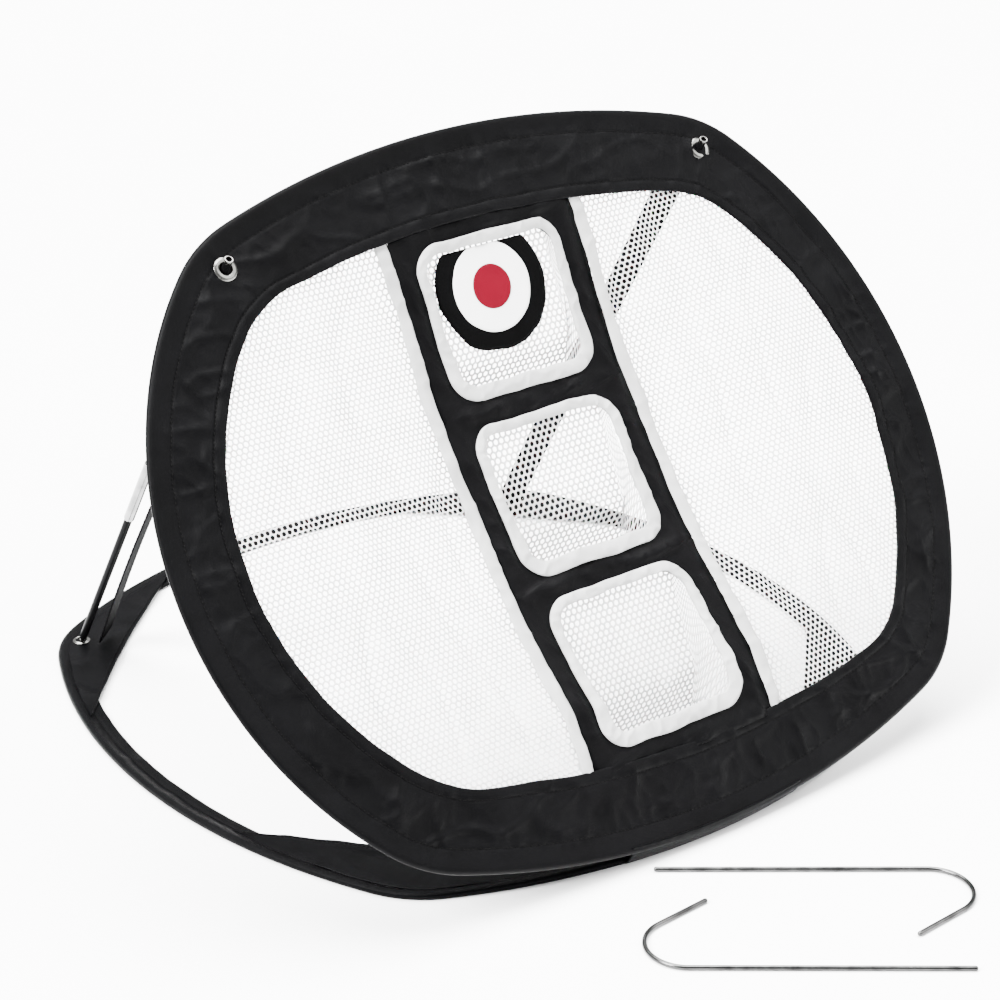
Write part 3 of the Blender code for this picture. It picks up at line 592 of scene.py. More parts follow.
def front_border():
    """The panel's border: padded channel over the wire, stitched seam, flat cloth, hem."""
    count = 860
    outer, inward = hoop_track(FRONT, count)
    inner, _ = hoop_track(INNER, count)
    ripple = bumps(flat3(inner), 0.045, 5)
    inner = inner - inward * 0.9 * MM * ripple[:, None]
    start = outer + inward * EDGE_STEPS[-1]
    width = np.linalg.norm(inner - start, axis=1)
    columns, halves, calm = [], [], []
    for r, half in zip(EDGE_STEPS, EDGE_HALF):
        columns.append(outer + inward * r)
        halves.append(np.full(count, half))
        calm.append(smooth(4 * MM, 24 * MM, np.full(count, r)))
    for t in np.linspace(0, 1, 17)[1:]:
        share = t * (1 - HEM / width)
        columns.append(start + (inner - start) * share[:, None])
        halves.append(np.full(count, FLAT_HALF))
        calm.append(smooth(4 * MM, 24 * MM, SLEEVE + share * width) * (1 - 0.25 * t ** 3))
    for t, half in HEM_STEPS:
        share = 1 - HEM / width * (1 - t)
        columns.append(start + (inner - start) * share[:, None])
        halves.append(np.full(count, half * MM))
        calm.append(np.full(count, 0.75 - 0.35 * t))
    depth = len(columns)
    plan = np.stack(columns, 1)
    half = np.stack(halves, 1)
    flat = plan.reshape(-1, 2)
    lift = cloth_relief(flat, 11).reshape(count, depth) * np.stack(calm, 1)
    lift -= 0.6 * MM * np.stack(calm, 1)
    inside = np.concatenate([EDGE_STEPS, np.full(depth - len(EDGE_STEPS), 1.0)])[None]
    seam = seam_relief(flat).reshape(count, depth) * smooth(0.0, 6 * MM, inside)
    pucker = 0.22 * MM * np.sin(np.arange(count) / count * 2 * np.pi * 290)[:, None]
    near_seam = np.exp(-((inside - SLEEVE) / (3.2 * MM)) ** 2)
    front = panel(plan[..., 0], plan[..., 1], lift + half + seam + pucker * near_seam)
    back = panel(plan[..., 0], plan[..., 1], lift - half + 0.4 * seam + pucker * near_seam)
    loop = np.concatenate([front, back[:, :0:-1]], 1)
    mesh_piece(
        "front_border_cloth", loop.reshape(-1, 3),
        grid_faces(count, loop.shape[1], True, True), PANEL_CLOTH,
        "front_panel", ("front_border",), "black_fabric",
    )
    for label, column in (("sleeve", len(EDGE_STEPS) - 2), ("hem", depth - len(HEM_STEPS))):
        line = np.vstack([front[:, column], front[:1, column]])
        stitches(
            f"border_{label}_stitches", line + OUT * 0.15 * MM, OUT, "front_panel", BORDER_PITCH
        )


def wave_edge(v, sign):
    """How far the strip's edge wanders from straight."""
    return 0.7 * MM * np.sin(v * 47 + sign) + 0.25 * MM * np.sin(v * 121 + 2.0 * sign)


def centre_strip():
    """The strip's cloth: a rounded opening in each of three panels, and the runs between."""
    side_steps, rings = 60, 9
    cuts = [None, 0.5 * (POCKETS["upper"] + POCKETS["middle"]),
            0.5 * (POCKETS["middle"] + POCKETS["lower"]), None]
    across_strip = np.linspace(-STRIP_HALF, STRIP_HALF, 41)
    head = across_strip, edge_at(INNER, across_strip, True) + 4 * MM
    foot = across_strip, edge_at(INNER, across_strip, False) - 4 * MM
    points, faces = [], []
    for index, middle in enumerate(POCKETS.values()):
        hole = rounded_square(
            POCKET_HALF[0] - 5 * MM, POCKET_HALF[1] - 5 * MM, middle, 4 * side_steps
        )
        hole = np.roll(hole, side_steps // 2 - 2, 0)
        frame_points = []
        for side in range(4):
            for k in range(side_steps):
                t = -1 + 2 * k / side_steps
                across, up = ((1, t), (-t, 1), (-1, -t), (t, -1))[side]
                x = across * STRIP_HALF
                top, bottom = cuts[index], cuts[index + 1]
                top = np.interp(x, head[0], head[1]) if top is None else top
                bottom = np.interp(x, foot[0], foot[1]) if bottom is None else bottom
                frame_points.append((x, bottom + (top - bottom) * (up + 1) / 2))
        rim = np.array(frame_points)
        start = len(points)
        for ring in range(rings + 1):
            points += list(hole + (rim - hole) * (ring / rings))
        faces += [
            tuple(start + k for k in face)
            for face in grid_faces(rings + 1, 4 * side_steps, wrap_columns=True)
        ]
    plan = np.array(points)
    side = np.sign(plan[:, 0]) * smooth(0.06, STRIP_HALF, np.abs(plan[:, 0]))
    plan[:, 0] += side * np.where(side > 0, wave_edge(plan[:, 1], 1), wave_edge(plan[:, 1], -1))
    free = smooth(2 * MM, 14 * MM, STRIP_HALF - np.abs(plan[:, 0]))
    for middle in POCKETS.values():
        outside = np.maximum(
            np.abs(plan[:, 0]) - POCKET_HALF[0], np.abs(plan[:, 1] - middle) - POCKET_HALF[1]
        )
        free *= smooth(-1 * MM, 9 * MM, outside)
    relief = cloth_relief(plan, 23, 1.2) * free - 0.5 * MM
    relief -= 1.1 * MM * smooth(-6 * MM, 0.0, past_hem(plan))
    piece = mesh_piece(
        "centre_strip_cloth", hung(plan[:, 0], plan[:, 1], relief), faces, PANEL_CLOTH,
        "front_panel", ("centre_strip",), "black_fabric",
    )
    bm = bmesh.new()
    bm.from_mesh(piece.data)
    bmesh.ops.remove_doubles(bm, verts=bm.verts, dist=0.0002)
    bmesh.ops.recalc_face_normals(bm, faces=bm.faces)
    bm.to_mesh(piece.data)
    bm.free()
    thicken(piece, STRIP_THICK)


# ---------------------------------------------------------------- nets


CORNER_STEPS = ((1, 1), (0, 2), (-1, 1), (-1, -1), (0, -2), (1, -1))   # round a cell's middle


def hex_net(columns, rows, inside, surface, strand):
    """A knitted net of six-sided holes.

    columns and rows count the cells over the surface, which maps (across, up) from 0 to 1
    to places. inside(across, up) says which cells exist, and strand is the yarn's share of
    a cell.
    """
    corner_ids, corners, cells = {}, [], []
    for j in range(rows):
        for i in range(columns):
            cx = (i + 0.5 * (j % 2) + 0.5) / columns
            cy = (j + 0.5) / rows
            if not inside(cx, cy):
                continue
            ring = []
            for step_x, step_y in CORNER_STEPS:
                kx = 2 * i + j % 2 + step_x
                ky = 3 * j + step_y
                if (kx, ky) not in corner_ids:
                    corner_ids[kx, ky] = len(corners)
                    corners.append(((kx + 1) / 2 / columns, (ky / 3 + 0.5) / rows))
                ring.append(corner_ids[kx, ky])
            cells.append(((cx, cy), ring))
    corners = np.array(corners)
    holes = np.vstack([
        middle + (corners[ring] - middle) * (1 - strand) for middle, ring in cells
    ])
    flat = np.vstack([corners, holes])
    eps = 0.2 / rows
    middle = surface(flat)
    along = surface(flat + [eps, 0]) - surface(flat - [eps, 0])
    up = surface(flat + [0, eps]) - surface(flat - [0, eps])
    normal = np.cross(along, up)
    normal /= np.maximum(np.linalg.norm(normal, axis=1, keepdims=True), 1e-12)
    lift = np.full((len(flat), 1), NET_THICK / 2)
    lift[len(corners):] *= 0.55           # strands are thinner at the holes
    total = len(flat)
    points = np.vstack([middle + normal * lift, middle - normal * lift])
    faces, edge_use = [], {}
    for c, (_, ring) in enumerate(cells):
        hole = [len(corners) + 6 * c + k for k in range(6)]
        for k in range(6):
            m = (k + 1) % 6
            faces.append((ring[k], ring[m], hole[m], hole[k]))
            faces.append((total + ring[m], total + ring[k], total + hole[k], total + hole[m]))
            faces.append((hole[k], hole[m], total + hole[m], total + hole[k]))
            edge = frozenset((ring[k], ring[m]))
            edge_use[edge] = edge_use.get(edge, 0) + 1
    for edge, uses in edge_use.items():
        if uses == 1:
            a, b = edge
            faces.append((a, b, total + b, total + a))
    return points, faces


NET_PITCH = 4.3 * MM
NET_STRAND, BAG_STRAND = 0.27, 0.30
NET_THICK = 0.75 * MM
NET_TUCK = 6 * MM                          # how far the net runs under the border


def net_folds(plan):
    """How far the side nets' soft folds stand behind or before their even lie."""
    flat = flat3(plan)
    free = smooth(0.0, 30 * MM, -past_hem(plan)) * smooth(0.262, 0.20, np.abs(plan[:, 0]))
    fold = 2.2 * MM * bumps(flat * [1.0, 0.5, 1.0], 0.045, 31)
    pull = 3.0 * MM * creases(flat * [1.0, 0.35, 1.0], 0.04, 33)
    return free * (fold - pull)


def side_net(side, sign):
    """A side net, from under the strip's tape to under the border."""
    level = INNER["right"][1]
    outer_x = abs(INNER[side][0]) + NET_TUCK
    near = STRIP_HALF - 4 * MM
    bottom, top = INNER["bottom"] - 4 * MM, INNER["top"] + NET_TUCK
    columns = int((outer_x - near) / NET_PITCH)
    rows = int((top - bottom) / (NET_PITCH * math.sqrt(3) / 2))
    track, inward = hoop_track(INNER, 360)
    rim = (track - inward * NET_TUCK - [0.0, level]) * [sign, 1.0]
    angles = np.arctan2(rim[:, 1], rim[:, 0])
    order = np.argsort(angles)
    angles, spread = angles[order], np.linalg.norm(rim, axis=1)[order]

    def inside(cx, cy):
        x, v = near + (outer_x - near) * cx, bottom + (top - bottom) * cy - level
        return math.hypot(x, v) < np.interp(math.atan2(v, x), angles, spread)

    def surface(flat):
        plan = np.column_stack([
            sign * (near + (outer_x - near) * flat[:, 0]), bottom + (top - bottom) * flat[:, 1],
        ])
        return hung(plan[:, 0], plan[:, 1], net_folds(plan) - 1.4 * MM)

    points, faces = hex_net(columns, rows, inside, surface, NET_STRAND)
    piece = mesh_piece(
        f"side_net_{side}_mesh", points, faces, NET, "front_panel", (f"side_net_{side}",),
        "white_net",
    )
    width, height = outer_x - near, top - bottom
    net_cloth_area(columns, rows, inside, width, height)


def net_cloth_area(columns, rows, inside, width, height):
    """Flat area of a net's yarn: its cells' area, less their holes."""
    cells = sum(
        bool(inside((i + 0.5 * (j % 2) + 0.5) / columns, (j + 0.5) / rows))
        for j in range(rows) for i in range(columns)
    )
    cell = width / columns * height / rows
    return max(cells * cell * (1 - (1 - NET_STRAND) ** 2) * 1.35, 0.301 * width * height)


BAG_LEAN = math.radians(12)                # the net behind a pocket leans back from the panel
BAG_INSET, BAG_FRONT = 6 * MM, -2.4 * MM   # where it starts, inside the binding and behind it
BAG_RUN = 113 * MM                         # down the net, from the opening's top to its lowest
BAG_SAG, BAG_SAG_FROM = 22 * MM, 0.62
BAG_WALL = 0.62                            # share of its width that hangs as one sheet
BAG_UP = math.cos(BAG_LEAN), math.sin(BAG_LEAN)


def bag_profile():
    """The net's middle line as (v, n): down the leaning sheet, round the pouch and back."""
    top = POCKET_HALF[1] - BAG_INSET
    down = np.linspace(0, 1, 60)
    v = top - BAG_RUN * BAG_UP[0] * down
    n = BAG_FRONT - BAG_RUN * BAG_UP[1] * down - BAG_SAG * smooth(BAG_SAG_FROM, 1.0, down)
    end = np.array([v[-1], n[-1]])
    turn = np.array([-68 * MM, -24 * MM])
    foot = np.array([-top, BAG_FRONT])
    t = np.linspace(0, 1, 30)[1:, None]
    under = (1 - t) ** 2 * end + 2 * t * (1 - t) * turn + t ** 2 * foot
    return evenly(np.vstack([np.column_stack([v, n]), under]), 200, closed=False)[0]


def bag_surface(middle, flat, seed):
    """A pocket's net: side walls back from the opening to a leaning sheet over a pouch."""
    top = POCKET_HALF[1] - BAG_INSET
    across = 2 * flat[:, 0] - 1
    down = np.clip(1 - flat[:, 1], 0, 1)
    a = np.abs(across)
    wall = smooth(1.0, BAG_WALL, a)
    x = np.sign(across) * np.interp(a, [0, BAG_WALL, 1], [0, 0.90, 1])
    x = x * (POCKET_HALF[0] - BAG_INSET)
    line = bag_profile()
    at = down * (len(line) - 1)
    v_sheet, n_sheet = (np.interp(at, np.arange(len(line)), line[:, k]) for k in (0, 1))
    v_rim = top * (1 - 2 * down)
    loose = np.sin(np.pi * down) * wall
    spot = np.column_stack([x, middle + v_sheet, n_sheet])
    ripple = 1.5 * MM * bumps(spot, 0.026, seed)
    ripple += MM * bumps(spot * [3.0, 0.6, 0.6], 0.030, seed + 1)
    free = wall * (1 - smooth(0.70, 1.0, down))
    pocket_dish = dish(0.0, middle + top) * free + dish(x, middle + v_rim) * (1 - free)
    v = v_rim * (1 - wall) + v_sheet * wall
    n = BAG_FRONT * (1 - wall) + n_sheet * wall - pocket_dish - ripple * loose
    return panel(x, middle + v, n)


def pocket_net(name, middle, seed):
    """The net bag that hangs behind a pocket's opening."""
    columns, rows = 34, 40
    points, faces = hex_net(
        columns, rows, lambda cx, cy: cx < 1 - 0.25 / columns,
        lambda flat: bag_surface(middle, flat, seed), BAG_STRAND,
    )
    piece = mesh_piece(
        f"pocket_net_{name}_mesh", points, faces, NET, "front_panel",
        (f"pocket_net_{name}",), "white_net",
    )
    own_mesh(piece)


# ---------------------------------------------------------------- binding and target


def pocket_trim(name, middle, seed):
    """Puckered binding rolled round a pocket's opening."""
    count, sides = 420, 18
    outer = rounded_square(*POCKET_HALF, middle, count)
    _, along = evenly(outer, count)
    inward = np.column_stack([-along[:, 1], along[:, 0]])
    wander = bumps(flat3(outer), 0.030, seed)
    lower = smooth(0.2, -0.9, (outer[:, 1] - middle) / POCKET_HALF[1])
    width = (7.6 + 3.2 * lower + 1.2 * bumps(flat3(outer), 0.018, seed + 1)) * MM
    outer = outer + inward * (wander * 1.3 * MM)[:, None]
    turn = turns(sides)
    centre = outer + inward * (width / 2)[:, None]
    rings = []
    for a in turn:
        bulge = 1.9 if math.sin(a) > 0 else 1.1
        plan = centre - inward * (width / 2 * math.cos(a))[:, None]
        thick = bulge * MM * abs(math.sin(a)) ** 0.8 * (1 if math.sin(a) > 0 else -1)
        rings.append(np.column_stack([plan, np.full(count, thick + 0.5 * MM)]))
    spots = np.stack(rings, 1)
    flat = spots.reshape(-1, 3)
    gather = creases(flat * [1.0, 1.0, 3.0], 0.013, seed + 2) * 1.4 * MM
    gather += bumps(flat, 0.006, seed + 3) * 0.45 * MM
    spots[..., 2] += gather.reshape(count, sides) * np.sign(np.sin(turn) + 0.3)[None]
    mesh_piece(
        f"pocket_trim_{name}_binding",
        hung(spots[..., 0], spots[..., 1], spots[..., 2]).reshape(-1, 3),
        grid_faces(count, sides, True, True), TAPE, "front_panel",
        (f"pocket_trim_{name}",), "white_tape",
    )


def strip_tape(side, sign):
    """Soft binding along the strip's edge, over the side net."""
    steps, columns = 260, 7
    foot, head = (float(edge_at(INNER, STRIP_HALF, above)) for above in (False, True))
    v = np.linspace(foot - 3 * MM, head + 3 * MM, steps)
    edge = STRIP_HALF - 1.0 * MM + wave_edge(v, sign)
    wide = (9.5 + 0.7 * np.sin(v * 61 + sign) + 0.3 * np.sin(v * 151)) * MM
    t = np.linspace(0, 1, columns)
    x = sign * (edge[:, None] + wide[:, None] * t[None])
    vv = np.repeat(v[:, None], columns, 1)
    spots = np.column_stack([x.ravel(), vv.ravel()])
    n = 0.9 * MM + 0.6 * MM * np.sin(np.pi * np.tile(t, steps))
    n += 0.7 * MM * bumps(flat3(spots), 0.014, 41 + sign)
    n += 1.3 * MM * creases(flat3(spots), 0.018, 43 + sign)
    n -= 1.8 * MM * smooth(-8 * MM, 0.0, past_hem(spots))
    points = hung(spots[:, 0], spots[:, 1], n).reshape(steps, columns, 3)
    sheet_grid(
        f"strip_tape_{side}_binding", points, 0.7 * MM, TAPE, "front_panel",
        (f"strip_tape_{side}",), "white_tape",
    )


TARGET_DROP, TARGET_SIDE = 32.1 * MM, -4.6 * MM   # its middle, below the net's top and across
TARGET_CUT = 29.8 * MM                            # where the binding cuts it off, above that
TARGET = {                                        # radius, layer, how rough the cut is
    "backing": (46.0 * MM, 0, PRINT_BLACK, "target_black", 0.04),
    "ring": (32.2 * MM, 1, PRINT_WHITE, "target_white", 0.012),
    "centre": (15.8 * MM, 2, PRINT_RED, "target_red", 0.0),
}


def target_layer(name, radius, layer, material, slot, rough):
    """A printed layer on the upper pocket's net, cut by hand and ending at the binding."""
    top = POCKETS["upper"] + POCKET_HALF[1] - BAG_INSET
    sides, rings = 120, 16
    turn = turns(sides)
    edge = radius * (1 + rough * bumps(
        np.column_stack([np.cos(turn), np.sin(turn), turn * 0]), 0.42, 51 + layer
    ))
    points = []
    for ring in range(rings, 0, -1):
        out = edge * ring / rings
        x = TARGET_SIDE + out * np.cos(turn)
        up = np.minimum(out * np.sin(turn), TARGET_CUT)
        wave = bumps(np.column_stack([x, x * 0, up]), 0.03, 61)
        lift = (2.4 + 0.35 * layer + 0.5 * wave) * MM
        v = top - (TARGET_DROP - up) * BAG_UP[0] - lift * BAG_UP[1]
        n = -2.7 * MM - (TARGET_DROP - up) * BAG_UP[1] + lift * BAG_UP[0] - dish(0.0, top)
        points.append(panel(x, v, n))
    flat = np.vstack(points + [points[-1].mean(0)[None]])
    faces = grid_faces(rings, sides, wrap_columns=True)
    last = (rings - 1) * sides
    faces += [(len(flat) - 1, last + (k + 1) % sides, last + k) for k in range(sides)]
    piece = mesh_piece(
        f"target_{name}_print", flat, faces, material, "front_panel", (f"target_{name}",), slot
    )
    thicken(piece, 0.3 * MM)
    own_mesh(piece)


# ---------------------------------------------------------------- base


BASE_SECTION = MM * np.array([             # from the outline inward: top and underside
    [0, 0.4, 1.0, 2.0, 3.4, 5.2, 7.0, 9.0, 10.6, 11.6, 12.4, 15, 18.5, 19.6, 20],
    [2.4, 3.9, 4.6, 5.1, 5.3, 5.0, 4.3, 3.4, 2.7, 2.2, 2.6, 2.6, 2.6, 2.4, 1.5],
    [2.4, 1.2, 0.5, 0.1, 0.0, 0.0, 0.1, 0.3, 0.5, 0.7, 0.8, 0.9, 1.0, 1.1, 1.5],
])
BASE_SEAM = 9                              # the step that its stitches follow
UPWARD = (0.0, 0.0, 1.0)


def base_sleeve():
    """The base hoop's cloth: a padded channel over the wire and a flat stitched band."""
    count = 760
    outer, inward = hoop_track(BASE, count)
    steps, tops, feet = BASE_SECTION
    plan = np.stack([outer + inward * r for r in steps], 1)
    flat = plan.reshape(-1, 2)
    ripple = 0.5 * MM * (bumps(flat3(flat), 0.030, 71) + creases(flat3(flat), 0.035, 72))
    ripple = ripple.reshape(count, -1) * smooth(3 * MM, 9 * MM, steps)[None]
    top = np.dstack([plan, tops[None] + ripple])
    foot = np.dstack([plan, np.maximum(feet[None] + 0.4 * ripple, 0.0)])
    loop = np.concatenate([top, foot[:, -2:0:-1]], 1)
    mesh_piece(
        "base_sleeve_cloth", loop.reshape(-1, 3), grid_faces(count, loop.shape[1], True, True),
        BASE_CLOTH, "base", ("base_sleeve",), "black_fabric",
    )
    line = np.vstack([top[:, BASE_SEAM], top[:1, BASE_SEAM]]) + [0, 0, 0.2 * MM]
    stitches("base_sleeve_stitches", line, UPWARD, "base")


def gusset(name, sign, rear):
    """A fabric corner: the hoop's curve outside, a hemmed edge inside."""
    outer, inward = hoop_track(BASE, 1440)
    track = outer + inward * 8 * MM
    reach = np.abs(track[:, 0])
    straight = reach + track[:, 1] - REAR_GUSSET if rear else reach - track[:, 1] - FRONT_GUSSET
    curve = track[(straight > 0) & (track[:, 0] * sign > 0)]
    curve = curve[np.argsort(np.abs(curve[:, 0]))]
    steps, columns = 90, 26
    curve = evenly(curve, steps, closed=False)[0]
    share = np.linspace(0, 1, steps)[:, None]
    edge = curve[0] * (1 - share) + curve[-1] * share
    toward = curve[steps // 2] - (curve[0] + curve[-1]) / 2
    edge = edge + toward / np.linalg.norm(toward) * np.sin(np.pi * share) * 5 * MM
    t = np.linspace(0, 1, columns)[None, :, None]
    plan = curve[:, None] * (1 - t) + edge[:, None] * t
    flat = plan.reshape(-1, 2)
    z = 3.4 * MM + 0.7 * MM * bumps(flat3(flat), 0.035, 81)
    z += 0.9 * MM * creases(flat3(flat), 0.04, 82)
    hem = smooth(0.90, 0.93, np.tile(t.ravel(), steps))
    z = np.maximum(z + 0.5 * MM * hem, 3.0 * MM)
    points = np.column_stack([flat, z]).reshape(steps, columns, 3)
    sheet_grid(f"{name}_cloth", points, 0.9 * MM, BASE_CLOTH, "base", (name,), "black_fabric")
    line = points[3:-3, int(columns * 0.9)] + [0, 0, 0.7 * MM]
    stitches(f"{name}_stitches", line, UPWARD, "base")


def hinge_binding():
    """The seam that joins the two hoops, laid from the base's edge up onto the panel."""
    steps, columns = 90, 12
    low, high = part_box("hinge_tape")
    x = np.linspace(low[0], high[0], steps)
    lift = edge_at(FRONT, x, False) - FRONT["bottom"]
    edge = edge_at(BASE, x, False) - BASE["bottom"]
    t = np.linspace(0, 1, columns)[None]
    start_y, start_z = edge - 4.0 * MM, 2.0 * MM
    end = panel(x, 6.0 * MM + lift, 3.6 * MM)
    y = start_y[:, None] * (1 - t) + end[:, 1:2] * t - 2.2 * MM * np.sin(np.pi * t)
    z = start_z * (1 - t) + end[:, 2:3] * t + 0.4 * MM * np.sin(np.pi * t)
    points = np.dstack([np.repeat(x[:, None], columns, 1), y, z])
    piece = sheet_grid(
        "hinge_tape_binding", points, 0.8 * MM, BASE_CLOTH, None, ("hinge_tape",), "black_fabric"
    )
    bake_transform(piece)


# ---------------------------------------------------------------- metal and poles


EYELET_BORE, WASHER_BORE, WASHER_THICK = 4.2 * MM, 5.2 * MM, 0.8 * MM


def eyelet(name, origin, axis, radius, cloth_top, body, washer_low):
    """A rolled eyelet over the cloth and its washer under it."""
    profile = rounded_profile([
        (EYELET_BORE, washer_low), (EYELET_BORE + 0.5 * MM, washer_low),
        (EYELET_BORE + 0.6 * MM, cloth_top), (radius, cloth_top),
        (radius, cloth_top + 0.35 * MM), (radius * 0.80, cloth_top + 1.15 * MM),
        (EYELET_BORE + 0.7 * MM, cloth_top + 1.25 * MM), (EYELET_BORE, cloth_top + 0.6 * MM),
    ], 0.35 * MM)
    turned(
        f"{name}_eyelet_ring", profile, origin, axis, NICKEL, body, (f"{name}_eyelet",), "nickel"
    )
    flat = rounded_profile([
        (WASHER_BORE, washer_low), (radius, washer_low), (radius, washer_low + WASHER_THICK),
        (WASHER_BORE, washer_low + WASHER_THICK),
    ], 0.25 * MM)
    turned(
        f"{name}_washer_ring", flat, origin, axis, NICKEL, body, (f"{name}_washer",), "nickel"
    )


def joint_point(name):
    return np.array(next(j for j in frame["joints"] if j["name"] == name)["pos_m"])


def pole(side):
    """Rod sections, elastic, ferrule and end fittings of one pole, finely turned."""
    lower = joint_point(f"{side}_pole_lower_fold")
    upper = joint_point(f"{side}_pole_upper_fold")
    length = np.linalg.norm(upper - lower)
    along = (upper - lower) / length
    low_body, high_body = f"{side}_pole_lower", f"{side}_pole_upper"
    ball = [
        (POLE_RADIUS * math.sin(a), -POLE_RADIUS * math.cos(a))
        for a in np.linspace(0.12, math.pi / 2, 9)
    ]
    start, end, rod_end = FERRULE_FROM * length, FERRULE_TO * length, ROD_END * length
    stub = end - length + 0.6 * MM         # the upper rod's lower end, from its own joint

    def cord(name, bottom, top, origin, body, node):
        profile = [
            (CORD_RADIUS, bottom), (CORD_RADIUS, top), (FINE_CORE, top), (FINE_CORE, bottom),
        ]
        turned(name, profile, origin, along, ELASTIC, body, (node,), "elastic", sides=24)

    def fitting(name, corners, rounding, origin, *place):
        corners = [(r * MM, h * MM) for r, h in corners]
        turned(name, rounded_profile(corners, rounding * MM, 3), origin, along, *place)

    turned(
        f"pole_{side}_lower_rod",
        ball + [(POLE_RADIUS, rod_end), (POLE_BORE, rod_end), (POLE_BORE, rod_end - 2 * MM),
                (CORE, rod_end - 2 * MM)],
        lower, along, FIBREGLASS, low_body, (f"pole_{side}_lower",), "fibreglass",
    )
    inner, flare = POLE_RADIUS + 0.05 * MM, FERRULE_RADIUS + 0.12 * MM
    turned(
        f"pole_{side}_ferrule_tube",
        rounded_profile([
            (inner, start), (FERRULE_RADIUS - 0.25 * MM, start),
            (FERRULE_RADIUS, start + 0.8 * MM), (FERRULE_RADIUS, end - 1.6 * MM),
            (flare, end - 1.2 * MM), (flare, end), (3.4 * MM, end),
            (3.4 * MM, rod_end + 1 * MM), (inner, rod_end + 1 * MM),
        ], 0.3 * MM, 3),
        lower, along, CHROME, low_body, (f"pole_{side}_ferrule",), "chrome",
    )
    cord(
        f"pole_{side}_elastic_lower", rod_end - 1.5 * MM, end - 1 * MM, lower, low_body,
        f"pole_{side}_cord_lower",
    )
    turned(
        f"pole_{side}_upper_rod",
        [(POLE_BORE, stub + 2 * MM), (POLE_BORE, stub), (POLE_RADIUS, stub)]
        + [(r, -h) for r, h in reversed(ball)] + [(CORE, stub + 2 * MM)],
        upper, along, FIBREGLASS, high_body, (f"pole_{side}_upper",), "fibreglass",
    )
    cord(
        f"pole_{side}_elastic_upper", stub + 0.8 * MM, stub + 3 * MM, upper, high_body,
        f"pole_{side}_cord_upper",
    )
    fitting(
        f"pole_tip_{side}_shank",
        [(0.3, 3.4), (2.6, 3.3), (2.9, 4.4), (2.9, 15.6), (0.3, 15.6)], 0.3,
        upper, FIBREGLASS, "front_panel", (), "fibreglass",
    )
    fitting(
        f"pole_tip_{side}_rim",
        [(2.2, 15.0), (2.95, 15.0), (3.05, 15.4), (3.05, 17.7), (2.2, 17.7)], 0.25,
        upper, NICKEL, "front_panel", (f"pole_tip_front_{side}",), "nickel",
    )
    fitting(
        f"pole_pin_{side}",
        [(0.2, -8.1), (1.5, -8.1), (1.8, -6.8), (1.8, -3.6), (0.2, -3.6)], 0.3,
        lower, NICKEL, "base", (f"pole_tip_base_{side}",), "nickel",
    )


def strap(side, sign):
    """Ribbed webbing between the border's back and the rear gusset."""
    inboard = sign * (FOOT[0] - STRAP_INBOARD)
    foot = np.array([inboard, FOOT[1] - STRAP_FORWARD, STRAP_FOOT])
    head = panel(sign * (EYELET[0] - STRAP_INBOARD), EYELET[1] - 4 * MM, STRAP_HEAD)
    along = (head - foot) / np.linalg.norm(head - foot)
    wide_low = np.array([0.83, sign * -0.47, 0.31 * -sign])
    wide_high = np.array([0.86, sign * -0.42, 0.30 * -sign])
    spread = np.linspace(-1, 1, 13)[:, None]
    rows = []
    for t in np.linspace(0, 1, 240):
        wide = wide_low * (1 - t) + wide_high * t
        wide -= along * wide.dot(along)
        wide /= np.linalg.norm(wide)
        flat = np.cross(along, wide)
        middle = foot + (head - foot) * t + flat * 1.6 * MM * math.sin(2.2 * math.pi * t)
        middle = middle + flat * 0.10 * MM * math.sin(2 * math.pi * t * 180)   # the ribs
        rows.append(middle + wide * spread * STRAP_HALF + flat * 0.25 * MM * spread ** 2)
    piece = sheet_grid(
        f"strap_{side}_webbing", np.array(rows), 1.2 * MM, WEBBING, None,
        (f"strap_{side}",), "black_webbing",
    )
    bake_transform(piece)


def peg(name, start, direction):
    """A bright wire peg lying flat, with domed ends."""
    turn = np.linspace(0, PEG_TURN, 60)
    hook = np.column_stack([
        PEG_SHANK + PEG_BEND * np.sin(turn), -PEG_BEND * (1 - np.cos(turn)),
    ])
    tip = np.array([math.cos(PEG_TURN), -math.sin(PEG_TURN)])
    end = hook[-1] + PEG_TAIL * tip
    dome = np.array([0.0, 0.12, 0.35, 0.7, 1.0, 1.6]) * PEG_RADIUS
    flat = np.vstack([
        np.column_stack([dome, dome * 0]), [[0.02, 0], [0.06, 0], [0.12, 0]], hook,
        [hook[-1] + tip * PEG_TAIL * 0.5], end - tip * dome[::-1, None],
    ])
    radii = np.full(len(flat), PEG_RADIUS)
    shape = np.array([0.35, 0.62, 0.84, 0.96, 1.0, 1.0]) * PEG_RADIUS
    radii[:6], radii[-6:] = shape, shape[::-1]
    c, s = math.cos(direction), math.sin(direction)
    line = np.column_stack([
        start[0] + flat[:, 0] * c - flat[:, 1] * s,
        start[1] + flat[:, 0] * s + flat[:, 1] * c,
        np.full(len(flat), PEG_RADIUS),
    ])
    body = name.replace("ground_", "")
    tube(f"{name}_wire", line, radii, 28, PEG_STEEL, body, (name,), "chrome")


# ---------------------------------------------------------------- stage


FLOOR_HALF = 7.0
SUNS = {                                   # place, width in degrees, strength
    "key": ((-1.7, 0.2, 1.5), 30, 22.0),
    "fill": ((1.6, -1.2, 1.8), 60, 6.0),
    "top": ((0.2, 0.6, 2.4), 50, 22.0),
}
EYE = (-1.087, -1.221, 1.0265)
AZIMUTH, ELEVATION, ROLL = (math.radians(k) for k in (-36.62, 25.39, -0.50))


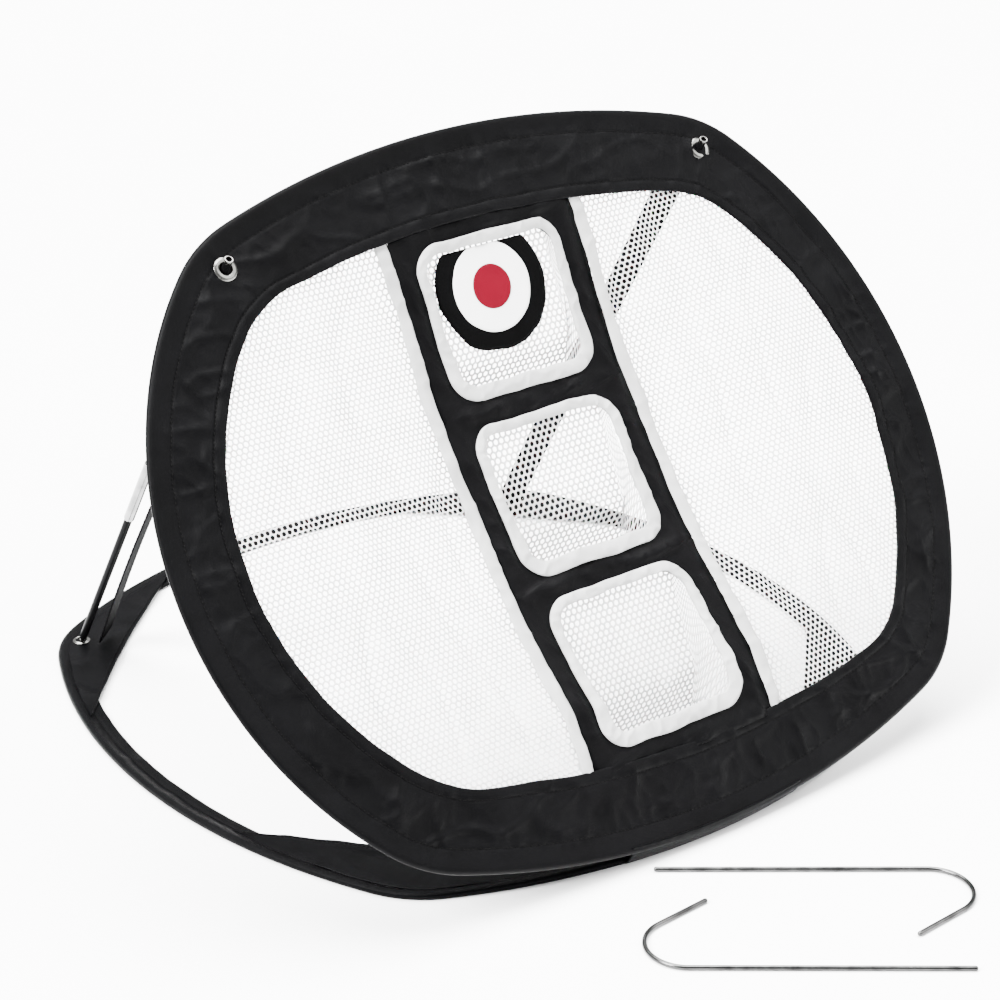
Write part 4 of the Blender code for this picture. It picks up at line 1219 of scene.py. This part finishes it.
def stage():
    """A pale floor, soft overhead light and two big side lights."""
    look = Look("pale_floor", grey(0.92), 0.75)
    look.vary_colour(look.mottle(0.6), grey(0.90), grey(0.94))
    half = FLOOR_HALF
    points = [(-half, -half, 0), (half, -half, 0), (half, half, 0), (-half, half, 0)]
    mesh = bpy.data.meshes.new("floor")
    mesh.from_pydata(points, [], [(0, 1, 2, 3)])
    mesh.materials.append(look.made)
    floor = bpy.data.objects.new("floor", mesh)
    bpy.context.collection.objects.link(floor)

    world = bpy.data.worlds.new("studio")
    bpy.context.scene.world = world
    world.use_nodes = True
    sky = world.node_tree.nodes["Background"]
    sky.inputs["Color"].default_value = (1.0, 1.0, 1.0, 1.0)
    sky.inputs["Strength"].default_value = 1.0

    for name, (place, spread, strength) in SUNS.items():
        light = bpy.data.lights.new(name, "SUN")
        light.angle = math.radians(spread)
        light.energy = strength
        lamp = bpy.data.objects.new(name, light)
        lamp.location = place
        lamp.rotation_euler = Vector(place).to_track_quat("Z", "Y").to_euler()
        bpy.context.collection.objects.link(lamp)


def camera():
    """The photo's view: a long lens, above the left front."""
    back = Vector((
        math.sin(AZIMUTH) * math.cos(ELEVATION), -math.cos(AZIMUTH) * math.cos(ELEVATION),
        math.sin(ELEVATION),
    ))
    right = Vector((math.cos(AZIMUTH), math.sin(AZIMUTH), 0.0))
    up = back.cross(right)
    across = right * math.cos(ROLL) + up * math.sin(ROLL)
    lens = bpy.data.cameras.new("camera")
    lens.lens = 100.0
    lens.sensor_width = 36.0
    eye = bpy.data.objects.new("camera", lens)
    turn = Matrix((across, back.cross(across), back)).transposed().to_4x4()
    eye.matrix_world = Matrix.Translation(EYE) @ turn
    bpy.context.collection.objects.link(eye)
    bpy.context.scene.camera = eye


# ---------------------------------------------------------------- assembly

camera()
stage()

for part in ("front_hoop_wire", "front_hoop_splice", "base_hoop_wire", "base_hoop_splice"):
    slots = frame["nodes"][part].data.materials
    slots.clear()
    slots.append(SPRING_STEEL)

front_border()
centre_strip()
for number, (pocket, height) in enumerate(POCKETS.items()):
    pocket_trim(pocket, height, 90 + 7 * number)
    pocket_net(pocket, height, 120 + 5 * number)
for print_name, values in TARGET.items():
    target_layer(print_name, *values)

base_sleeve()
hinge_binding()
for side_name, way in SIDES:
    side_net(side_name, way)
    strip_tape(side_name, way)
    gusset(f"rear_gusset_{side_name}", way, True)
    gusset(f"front_gusset_{side_name}", way, False)
    eyelet(
        f"front_{side_name}", panel(way * EYELET[0], EYELET[1]), OUT, radius=8.5 * MM,
        cloth_top=0.9 * MM, body="front_panel", washer_low=-1.8 * MM,
    )
    eyelet(
        f"base_{side_name}", (way * FOOT[0], FOOT[1], 0.0), UPWARD, radius=6.8 * MM,
        cloth_top=4.2 * MM, body="base", washer_low=0.05 * MM,
    )
    pole(side_name)
    strap(side_name, way)

for peg_name, (shank_start, direction) in PEGS.items():
    peg(peg_name, shank_start, direction)
